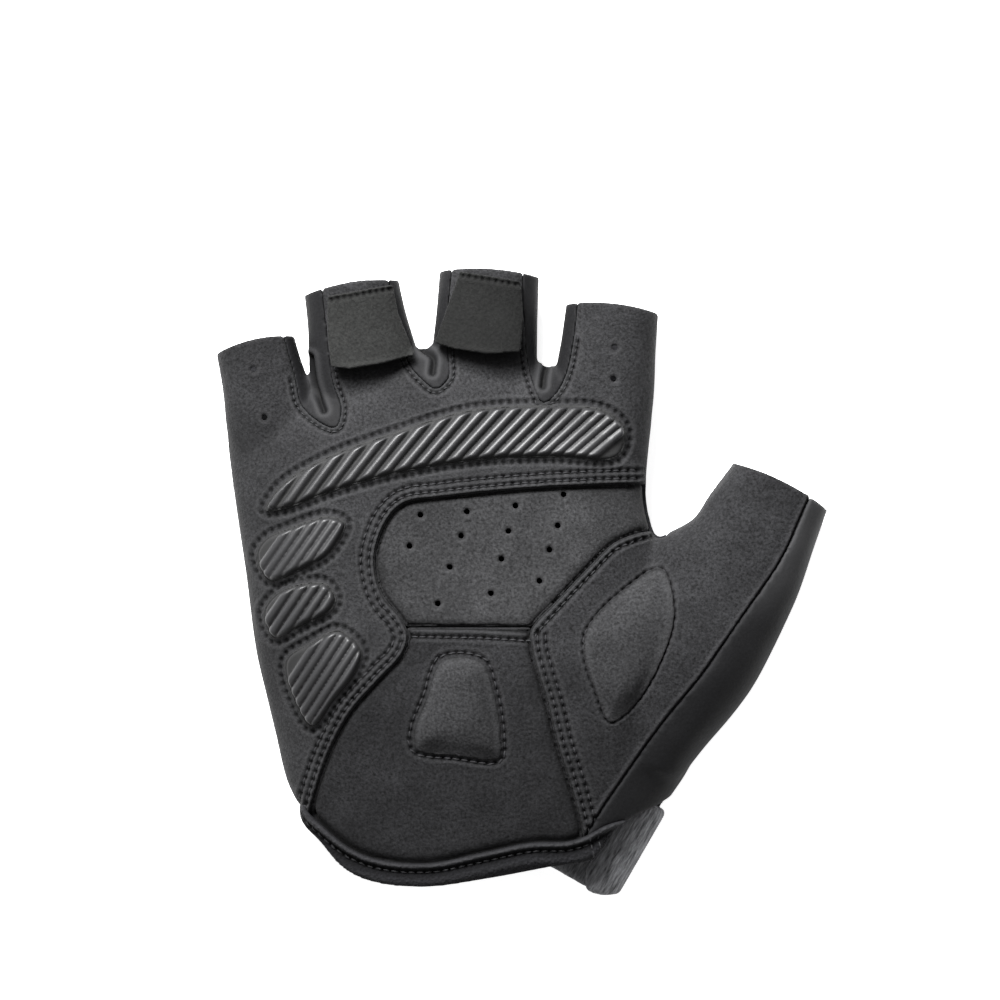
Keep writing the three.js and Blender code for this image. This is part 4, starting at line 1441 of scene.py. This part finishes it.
    def prick(self, work: Work, rows_on: Sequence[str], shade: np.ndarray) -> None:
        """Sinks a needle hole at each stitch of the rows and shades it."""
        points = work.points()
        tree = KDTree(len(points))
        for index, point in enumerate(points):
            tree.insert((point[0], point[1], 0), index)
        tree.balance()
        up = work.facing_up(0.0, 0.3)
        sunk = np.zeros(len(points), np.float32)
        for name in rows_on:
            row = self.stitching[name]
            for x, y in spaced(row.line, row.pitch, row.closed)[0]:
                for _, index, gap in tree.find_range((x, y, 0), self.needle_reach):
                    if up[index] > 0.1:
                        share = math.exp(-((gap / self.needle) ** 2))
                        sunk[index] = max(sunk[index], share)
        work.shift(-self.needle_depth * sunk)
        np.maximum(shade, np.minimum(1.25 * sunk, 1), out=shade)

    @staticmethod
    def soft_waves(points: np.ndarray) -> np.ndarray:
        """The slow unevenness of soft leather, in millimetres."""
        x, y = points[:, 0], points[:, 1]
        total = np.zeros(len(points), np.float32)
        draw = random.Random(WAVE_SEED)
        for _ in range(WAVE_COUNT):
            heading = draw.uniform(0, math.tau)
            length = draw.uniform(*WAVE_LENGTHS)
            phase = draw.uniform(0, math.tau)
            total += np.sin((x * math.cos(heading) + y * math.sin(heading)) * math.tau / length + phase)
        return total * WAVE_HEIGHT


@dataclass
class Shell:
    """The walls of the glove, before and after they are cut into panels."""

    hand: Hand
    seams: Seams
    wardrobe: Wardrobe
    fine_voxel: float = 0.44
    plain_voxel: float = 0.8
    thumb_voxel: float = 0.62
    strip_voxel: float = 0.38
    band_voxel: float = 0.45
    band_evening: int = 10
    rim_rise: float = 0.3
    rim_highlight: float = 0.5
    hole: float = 1.35
    growth: float = 0.07
    tucked: float = 0.45
    lapped: float = 0.12
    fuller: float = 0.35
    pieces: dict[str, bpy.types.Object] = field(default_factory=dict)
    face: Work | None = None

    def cut_all(self) -> None:
        """Cuts every panel, strip and the binding, and dresses them."""
        hollow = self.hand.form(HOLLOW)
        self.face = self.hand.form(OUTSIDE).swell(self.fuller)
        mouths = self.hand.mouth_blocks()
        ground, strips, room = self.grounds(), self.strip_blocks(), self.strap_room()
        between = [block for _, taken, kerf in strips.values() for block in (taken, kerf)]

        def walled(wall: float) -> Work:
            """The glove's wall, as thick as asked."""
            return self.face.copy("wall").swell(wall - WALL).cut(hollow, *mouths)

        full = walled(WALL).cut(ground["cuff_under"], *room)
        walls = {WALL: full.copy().keep(ground["palm"])}
        for wall in (PALM_WALL, PERFORATED_WALL):
            walls[wall] = walled(wall).cut(ground["cuff_under"], *room).keep(ground["palm"])
        LOG.info("walls made")
        for front in FRONTS:
            work = walls[front.wall].copy().keep(ground[front.kept])
            work.cut(*(between if front.between_stalls else ()), *(ground[name] for name in front.cuts))
            self.finish_front(work, front)
        back = full.copy().keep(ground["back"])
        thumb_top = full.copy().keep(ground["upper"], ground["thumb_side"]).cut(ground["thumb_kerf"])
        thumb = back.copy().keep(ground["thumb_back"]).cut(ground["back_kerf"]).add(thumb_top)
        knit = back.copy().cut(ground["thumb_back"], ground["back_kerf"], *between)
        self.finish_plain(thumb, "thumb_stretch_fabric", Slot.STRETCH, "thumb_back_panel", self.thumb_voxel)
        self.finish_plain(knit, "back_knit", Slot.KNIT, "back_panel", self.plain_voxel)
        for name, (kept, _, kerf) in strips.items():
            self.finish_strip(full.copy().keep(kept).cut(kerf), name)
        self.finish_binding(walled(BINDING_WALL).keep(ground["cuff"]).cut(*room))

    def grounds(self) -> dict[str, Work]:
        """The blocks that part the panels, by name."""
        plan, lines = Work.plan, self.seams.lines
        half, top_low = SEAM_GAP / 2, SIDE_SEAM_HEIGHT - SEAM_GAP
        under = beside(lines["binding"], self.tucked)

        def past(line: np.ndarray, *corners: Place) -> Work:
            """The ground on one side of a line."""
            return Work.block(np.vstack([line, plan.outline(corners)]))

        def band(
            low_v: float, high_v: float, nudge: float = 0, low: float = GROUND, high: float = TALL
        ) -> Work:
            """A ground right across the glove."""
            corners = plan.outline([(-1.5, low_v), (1.5, low_v), (1.5, high_v), (-1.5, high_v)])
            return Work.block(corners + np.array([0, nudge]), low, high)

        return {
            "finger_side": past(lines["finger_panel"], (-1.5, -0.1), (-1.5, 2), (0.7, 2)),
            "thenar_side": past(lines["thenar"], (1.5, -0.1), (1.5, 1.3)),
            "thumb_side": past(lines["thumb_side"], (1.5, -0.1), (1.5, 0.83)),
            "thumb_back": past(lines["thumb_back"], (1.5, -0.1), (1.5, 1.3)),
            "cuff": past(lines["binding"], (0.8, -0.5), (-0.6, -0.5)),
            "cuff_under": past(under, (0.8, -0.5), (-0.6, -0.5)),
            "above_heel": band(HEEL_SEAM_V, 2, half),
            "below_heel": band(-0.5, HEEL_SEAM_V, -half),
            "palm": band(-0.5, 2, 0, SIDE_SEAM_HEIGHT - self.lapped),
            "back": band(-0.5, 2, 0, GROUND, SIDE_SEAM_HEIGHT + self.lapped),
            "upper": band(-0.5, 2, 0, top_low),
            "finger_kerf": Work.kerf(lines["finger_panel"], top_low),
            "thenar_kerf": Work.kerf(lines["thenar"], top_low),
            "thumb_kerf": Work.kerf(lines["thumb_side"], top_low),
            "back_kerf": Work.kerf(lines["thumb_back"]),
        }

    @staticmethod
    def strip_blocks() -> dict[str, tuple[Work, Work, Work]]:
        """For each strip between two stalls: its own block, the one that it takes, and the kerf round it."""
        plan, half = Work.plan, SEAM_GAP / 2
        blocks = {}
        for name, places in FOURCHETTES.items():
            first, last = (plan.spot((u, v + 0.2)) for u, v in (places[0], places[-1]))
            around = np.vstack([first, plan.curve(places), last])
            blocks[name] = (
                Work.block(around, FOURCHETTE_SEAM_HEIGHT + half),
                Work.block(around, FOURCHETTE_SEAM_HEIGHT - half),
                Work.kerf(around, FOURCHETTE_SEAM_HEIGHT - half),
            )
        return blocks

    @staticmethod
    def strap_room() -> list[Work]:
        """The room that the strap's bend and end take at the thumb corner of the cuff."""
        heading = math.radians(STRAP_HEADING)
        over = np.array([math.cos(heading), math.sin(heading)])
        down = np.array([over[1], -over[0]])
        place = Work.plan.spot(STRAP_PLACE)
        near, (inner, outer) = STRAP_LAP - STRAP_WIDTH / 2, STRAP_BEND

        corners = ((inner, near), (outer, near), (outer, STRAP_WIDTH), (inner, STRAP_WIDTH))
        bend = Work.block(
            np.array([place + over * out + down * along for out, along in corners]), GROUND, STRAP_TOP_FROM
        )
        edge = beside(Work.plan.curve(STRAP_EDGE), SEAM_GAP)
        end = Work.block(np.vstack([edge, Work.plan.outline([(0.8, -0.1), (0.8, 0.165)])]), STRAP_TOP_FROM)
        return [bend, end]

    def finish_front(self, work: Work, front: Front) -> None:
        """Rounds a palm panel's edges, presses its seams in, punches its holes and dresses it."""
        work.without_specks().remesh(self.fine_voxel).smooth(0.5, 2).swell(self.growth)
        self.seams.press(work, front)
        if front.holes:
            work.cut(Work.punches(front.holes, self.hole))
        self.pieces[front.node] = self.wardrobe.dress(work, front.piece, front.slot, front.node)

    def finish_plain(self, work: Work, name: str, slot: Slot, node: str, voxel: float) -> None:
        """Rounds a fabric panel's edges and dresses it."""
        work.without_specks().remesh(voxel).smooth(0.5, 2).swell(self.growth)
        points = work.points()
        work.shift(Seams.soft_waves(points) * work.facing_up())
        # Painted highlight on the upper part of the thumb's fabric, where the light falls on it
        if slot is Slot.STRETCH:
            work.paint("painted_highlight", ramp(points[:, 1] / PALM_LENGTH, *THUMB_PAINTED_LIGHT))
        self.pieces[node] = self.wardrobe.dress(work, name, slot, node)

    def finish_strip(self, work: Work, node: str) -> None:
        """Folds a strip between two stalls in at its middle and dresses it."""
        work.without_specks().remesh(self.strip_voxel).smooth(0.5, 2).swell(self.growth)
        points = work.points()
        gap, _ = away_from(points, Work.plan.curve(SLITS[node]))
        fold, rim = FOLD.over(gap), FOLD_RIM.over(gap)
        work.shift((self.rim_rise * rim - fold) * work.facing_up(-0.2, 0.3))
        # Painted shade in the fold and a painted highlight on its rims
        work.paint("shade", fold).paint("painted_highlight", self.rim_highlight * rim)
        name = node.replace("fourchette", "fork_strip")
        self.pieces[node] = self.wardrobe.dress(work, name, Slot.STRETCH, node)

    def finish_binding(self, work: Work) -> None:
        """Rolls the binding round the cuff's edge and dresses it."""
        work.without_specks().remesh(self.band_voxel).smooth(0.5, self.band_evening)
        points = work.points()
        gap, _ = away_from(points, self.seams.lines["binding"])
        up = work.facing_up()
        work.shift(sum(ridge.over(gap) for ridge in BAND_RIDGES) * up)
        # Painted shade along the band's valley, and painted highlights on its welt and its roll
        shade = 0.55 * ramp(gap, 1.2, 1.9) * (1 - ramp(gap, 2.8, 3.8)) * up
        self.seams.prick(work, ("cuff",), shade)
        work.paint("painted_highlight", sum(ridge.over(gap) for ridge in BAND_HIGHLIGHTS) * up).paint("shade", shade)
        for place, by, reach in CUFF_NUDGES:
            nudge(work, place, by, reach)
        self.pieces["cuff_binding"] = self.wardrobe.dress(work, "cuff_band", Slot.BINDING, "cuff_binding")


@dataclass
class Pads:
    """What is laid on the leather: the ribbed grips, the two palm pads and the pull tabs."""

    shell: Shell
    seams: Seams
    wardrobe: Wardrobe
    grip_layer: tuple[float, float, float] = (0.02, 0.8, 0.3)
    pad_layer: tuple[float, float, float] = (0.02, 1.1, 0.38)
    tab_layer: tuple[float, float, float] = (0.35, 1.75, 0.36)
    tab_rise: float = 2.6
    tab_hinge: float = 2.4
    tab_length: float = 16
    tab_curl: float = 1.3
    rib_height: float = 1.15
    rib_width: float = 1.02
    rib_ends: tuple[float, float] = (0.25, 1.3)
    rib_highlight: float = 0.2
    valley_shade: float = 0.95
    edge_drop: float = 0.55
    heel_crown: tuple[float, float] = (2.6, 3.2)
    thenar_crown: tuple[float, float] = (2.7, 3.8)
    pad_edge: float = 0.8
    pad_evening: int = 22

    def build(self) -> None:
        """Makes and dresses every pad and tab."""
        for name, grip in GRIPS.items():
            self.grip(name, grip)
        heel = self.crowned("heel_pad", HEEL_PAD, *self.heel_crown)
        thenar = self.crowned("thenar_pad", THENAR_PAD, *self.thenar_crown)
        for name, outline in PULL_TABS.items():
            self.tab(name, outline)

    def slab(self, edge: np.ndarray, low: float, high: float, voxel: float) -> Work:
        """A layer of the hand's skin inside an outline, between two heights over the leather."""
        lower, block = self.shell.face.copy().swell(low), Work.block(edge, SIDE_SEAM_HEIGHT + 2)
        slab = self.shell.face.copy("slab").swell(high).cut(lower).keep(block).without_specks()
        return slab.remesh(voxel).smooth(0.5, 2)

    def grip(self, name: str, grip: Grip) -> None:
        """A raised pad with slanted ribs, rounded at their ends."""
        plan = Work.plan
        edge = plan.curve(grip.outline, True)
        work = self.slab(edge, *self.grip_layer)
        points = work.points()
        _, sided = away_from(points, edge, True)
        inside = np.abs(sided)
        start, end = plan.spot(grip.first), plan.spot(grip.last)
        nearest = np.full(len(points), np.inf, np.float32)
        for k in range(grip.ribs):
            share = k / (grip.ribs - 1)
            angle = math.radians(grip.slant + grip.turn * share)
            x, y = start + (end - start) * share
            across = np.abs((points[:, 0] - x) * math.sin(angle) - (points[:, 1] - y) * math.cos(angle))
            nearest = np.minimum(nearest, across)
        ridge = np.sqrt(np.clip(1 - (nearest / self.rib_width) ** 2, 0, 1)) * ramp(inside, *self.rib_ends)
        edge_drop = self.edge_drop * (1 - ramp(inside, 0.1, 1.0))
        work.shift((self.rib_height * ridge - edge_drop) * work.facing_up(0.0, 0.3)).smooth(0.4, 2)
        # Painted shade in the valleys between the ribs and a painted highlight on the rib tops
        valley = self.valley_shade * (1 - ramp(ridge, 0.1, 0.75))
        work.paint("polish", ridge).paint("painted_highlight", self.rib_highlight * ridge**2).paint("shade", valley)
        self.wardrobe.dress(work, name.replace("grip_pad", "ribbed_grip"), Slot.SILICONE, name)

    def crowned(self, name: str, outline: Outline, height: float, shoulder: float) -> bpy.types.Object:
        """A moulded pad that rises from its sewn edge to a crown.

        Args:
            name: The CAD node's name.
            outline: The pad's outline, as shares of the palm.
            height: How high its crown stands, in millimetres.
            shoulder: How far in from its edge it rises, in millimetres.

        Returns:
            The piece.
        """
        edge = Work.plan.curve(outline, True)
        low = PALM_WALL - WALL
        bottom, top, voxel = self.pad_layer
        work = self.slab(edge, low + bottom, low + top, voxel)
        points = work.points()
        inside, _ = away_from(points, edge, True)
        rise = (1 - np.exp(-((inside / shoulder) ** 1.6))) * height - self.pad_edge
        up = work.facing_up(0.0, 0.3)
        even = (self.fitted(points, up) - points[:, 2]) * ramp(inside, 0.3, 3.5) * up
        work.shift(even, np.array([[0, 0, 1]], np.float32))
        work.shift((rise + Seams.soft_waves(points) * 1.5) * up).smooth(0.5, self.pad_evening)
        # Painted shade along the pad's sewn edge and a painted highlight just inside it
        work.paint("shade", PAD_SHADE.over(inside)).paint("painted_highlight", PAD_HIGHLIGHT.over(inside))
        return self.wardrobe.dress(work, name.replace("pad", "cushion"), Slot.PAD, name)

    @staticmethod
    def fitted(points: np.ndarray, up: np.ndarray) -> np.ndarray:
        """The height at each point of the even, once curved surface that fits a pad's top best."""
        x, y = points[:, 0], points[:, 1]
        terms = np.stack([np.ones_like(x), x, y, x * x, x * y, y * y], 1)
        top = up > 0.9
        return terms @ np.linalg.lstsq(terms[top], points[top, 2], rcond=None)[0]

    def tab(self, name: str, outline: Outline) -> None:
        """A flap sewn at the rim, its free end standing off the stall."""
        edge = Work.plan.outline(outline)
        finger = FINGERS[name.removeprefix("pull_tab_")]
        up, _, rim = Hand.stall_axes(finger)
        work = self.slab(edge, *self.tab_layer).smooth(0.5, 3)
        points = work.points()
        fall = np.clip(((rim - points[:, :2]) @ up - self.tab_hinge) / self.tab_length, 0, 1)
        work.shift(self.tab_rise * fall**self.tab_curl, np.array([[0, 0, 1]], np.float32))
        row = self.seams.stitching[name]
        hem, _ = away_from(points, row.line)
        # Painted shade along the hem, and over the whole of the middle flap
        shade = np.maximum(HEM_SHADE.over(hem), TAB_SHADES[name])
        work.shift(HEM_DIP.over(hem) * work.facing_up())
        self.seams.prick(work, (name,), shade)
        # Painted highlight along the flap's free end
        work.paint("shade", shade).paint("painted_highlight", 0.25 * bell(fall - 1, 0.05))
        self.wardrobe.dress(work, name.replace("pull_tab", "pull_flap"), Slot.PAD, name, finish=FLAP_FINISH)


@dataclass
class Strap:
    """The closing strap, smoothed from its plain solid."""

    frame: dict[str, object]
    wardrobe: Wardrobe
    give: float = 1.6
    shrinks: float = 1.1
    fuller: float = 0.3
    evening: int = 30

    def build(self) -> None:
        """Rounds the strap's edges, softens its bend and dresses it."""
        node = self.frame["nodes"]["wrist_strap"]
        work = Work(node).copy("strap")
        work.body.parent = None
        with edit_mode(work.body):
            bpy.ops.mesh.remove_doubles(threshold=1e-6)
        for key in list(work.body.keys()):
            del work.body[key]
        put_back(work.body, coordinates(work.body) - palm_origin())
        heading = math.radians(STRAP_HEADING)
        over = np.array([[math.cos(heading), math.sin(heading), 0]], np.float32)
        edge = Work.plan.curve(STRAP_EDGE) - over[:, :2] * (self.give + self.shrinks)
        corners = Work.plan.outline([(0.3, -0.1), (0.3, 0.2), (0.6, 0.2)])
        trim = Work.block(np.vstack([edge, corners]), STRAP_TOP_FROM)
        work.remesh(0.5).cut(trim).remesh(0.45).smooth(0.5, self.evening).swell(self.fuller)
        points = work.points()
        work.shift(self.give * ramp(points[:, 2], 2, 9), over)
        self.wardrobe.dress(work, "closing_strap", Slot.STRAP, "wrist_strap")


@dataclass
class Stitching:
    """The thread of the rows of stitches, but not round the grips or along the pull tabs, as one small stitch
    copied along the rows.
    """

    shell: Shell
    seams: Seams
    wardrobe: Wardrobe
    thickness: float = 0.42
    raised: float = 0.12
    length: float = 0.86
    bend: float = 0.55
    flatness: float = 0.8

    def template(self) -> tuple[np.ndarray, list[tuple[int, ...]]]:
        """One stitch of length 1 along X, before its ends are bent down into the leather.

        Returns:
            The stitch's vertices, and its faces.
        """
        deselect()
        bpy.ops.mesh.primitive_uv_sphere_add(segments=6, ring_count=6, radius=0.5)
        stitch = bpy.context.object
        with edit_mode(stitch):
            bpy.ops.transform.rotate(value=math.pi / 2, orient_axis="Y", center_override=(0, 0, 0))
        points = coordinates(stitch)
        faces = [tuple(face.vertices) for face in stitch.data.polygons]
        return points, faces

    def build(self) -> None:
        """Sews the rows and dresses the thread."""
        shape, faces = self.template()
        trees = self.surfaces()
        points, polygons = [], []
        for name, row in self.seams.stitching.items():
            if name in GRIPS or name in PULL_TABS:
                continue
            places, ways = spaced(row.line, row.pitch, row.closed)
            for (x, y), (ax, ay) in zip(places + ways * row.pitch / 2, ways):
                hit = self.drop_on(trees, x, y)
                if hit is None:
                    continue
                centre, normal = hit
                along = Vector((ax, ay, 0))
                along = (along - normal * along.dot(normal)).normalized()
                side = normal.cross(along)
                long = row.pitch * self.length * MM
                first = len(points)
                for px, py, pz in shape:
                    bend = -self.bend * self.thickness * MM * (2 * px) ** 2
                    point = centre + along * (px * long) + side * (py * self.thickness * MM)
                    height = pz * self.thickness * self.flatness * MM
                    point += normal * (height + bend + self.raised * MM)
                    points.append(point)
                polygons.extend(tuple(first + k for k in face) for face in faces)
        mesh = bpy.data.meshes.new("stitches")
        mesh.from_pydata([tuple(p) for p in points], [], polygons)
        thread = bpy.data.objects.new("stitches", mesh)
        bpy.context.scene.collection.objects.link(thread)
        self.wardrobe.dress(Work(thread), "sewing_thread", Slot.BINDING, finish=THREAD_FINISH)

    def surfaces(self) -> list[BVHTree]:
        """The skins that thread can lie on."""
        graph = bpy.context.evaluated_depsgraph_get()
        names = ("finger_panel", "perforated_panel", "heel_panel", "thenar_panel", "cuff_binding")
        return [BVHTree.FromObject(self.shell.pieces[name], graph) for name in names]

    @staticmethod
    def drop_on(trees: list[BVHTree], x: float, y: float) -> tuple[Vector, Vector] | None:
        """The highest skin under a place, and its normal."""
        best = None
        for tree in trees:
            place, normal, _, _ = tree.ray_cast(Vector((x * MM, y * MM, TALL * MM)), Vector((0, 0, -1)))
            if place is None or place.z <= SIDE_SEAM_HEIGHT * MM:
                continue
            if best is None or place.z > best[0].z:
                best = (place, normal)
        return best


@dataclass
class Studio:
    """The pale floor, soft light and the camera that looks straight down."""

    view_width: float = 235
    view_middle: tuple[float, float] = (-4.9, 19.1)
    lens: float = 250
    sensor: float = 36
    subject_height: float = 12
    key_place: tuple[float, float, float] = (-0.14, 0.38, 0.34)
    key_aim: tuple[float, float, float] = (0.015, 0.03, 0.02)
    key_size: float = 0.24
    key_power: float = 1.6
    key_spread: float = 60
    sky_power: float = 0.4
    floor_glow: float = 0.8

    def build(self) -> None:
        """Sets the camera, the lights and the floor."""
        camera = bpy.data.cameras.new("camera")
        camera.lens = self.lens
        camera.sensor_width = self.sensor
        seen = bpy.data.objects.new("camera", camera)
        x, y = self.view_middle
        distance = self.view_width * self.lens / self.sensor
        seen.location = (x * MM, y * MM, (distance + self.subject_height) * MM)
        bpy.context.scene.collection.objects.link(seen)
        bpy.context.scene.camera = seen
        self.light()
        world = bpy.data.worlds.new("studio")
        world.use_nodes = True
        sky = world.node_tree.nodes["Background"].inputs
        sky["Color"].default_value = (1, 1, 1, 1)
        sky["Strength"].default_value = self.sky_power
        bpy.context.scene.world = world
        bpy.context.scene.view_settings.view_transform = "Standard"
        self.floor()

    def light(self) -> None:
        """One soft area light that looks at the glove from the upper left."""
        lamp = bpy.data.lights.new("key_light", "AREA")
        lamp.energy = self.key_power
        lamp.size = self.key_size
        lamp.spread = math.radians(self.key_spread)
        item = bpy.data.objects.new("key_light", lamp)
        item.location = self.key_place
        way = Vector(self.key_aim) - Vector(self.key_place)
        item.rotation_euler = way.to_track_quat("-Z", "Y").to_euler()
        bpy.context.scene.collection.objects.link(item)

    def floor(self) -> None:
        """A plain pale floor."""
        deselect()
        bpy.ops.mesh.primitive_plane_add(size=6, location=(0, 0, -0.0002))
        floor = bpy.context.object
        floor.name = "floor"
        paint = bpy.data.materials.new("pale_floor")
        paint.use_nodes = True
        shader = paint.node_tree.nodes["Principled BSDF"].inputs
        shader["Base Color"].default_value = (0.9, 0.9, 0.9, 1)
        shader["Roughness"].default_value = 0.9
        shader["Emission Color"].default_value = (1, 1, 1, 1)
        shader["Emission Strength"].default_value = self.floor_glow
        floor.data.materials.append(paint)


def main() -> None:
    """Builds the glove's parts in order and reports each piece."""
    logging.basicConfig(level=logging.INFO, format="%(message)s")
    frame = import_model()
    Work.fine = 1.0
    Studio().build()
    standing = set(bpy.data.objects)
    wardrobe = Wardrobe()
    seams = Seams()
    shell = Shell(Hand(), seams, wardrobe)
    shell.cut_all()
    Pads(shell, seams, wardrobe).build()
    Strap(frame, wardrobe).build()
    Stitching(shell, seams, wardrobe).build()
    for item in set(bpy.data.objects) - standing - set(wardrobe.pieces):
        bpy.data.meshes.remove(item.data)
    for piece in wardrobe.pieces:
        put_back(piece, coordinates(piece) + palm_origin())
    LOG.info("%d triangles in all", wardrobe.faces)


if __name__ == "__main__":
    main()
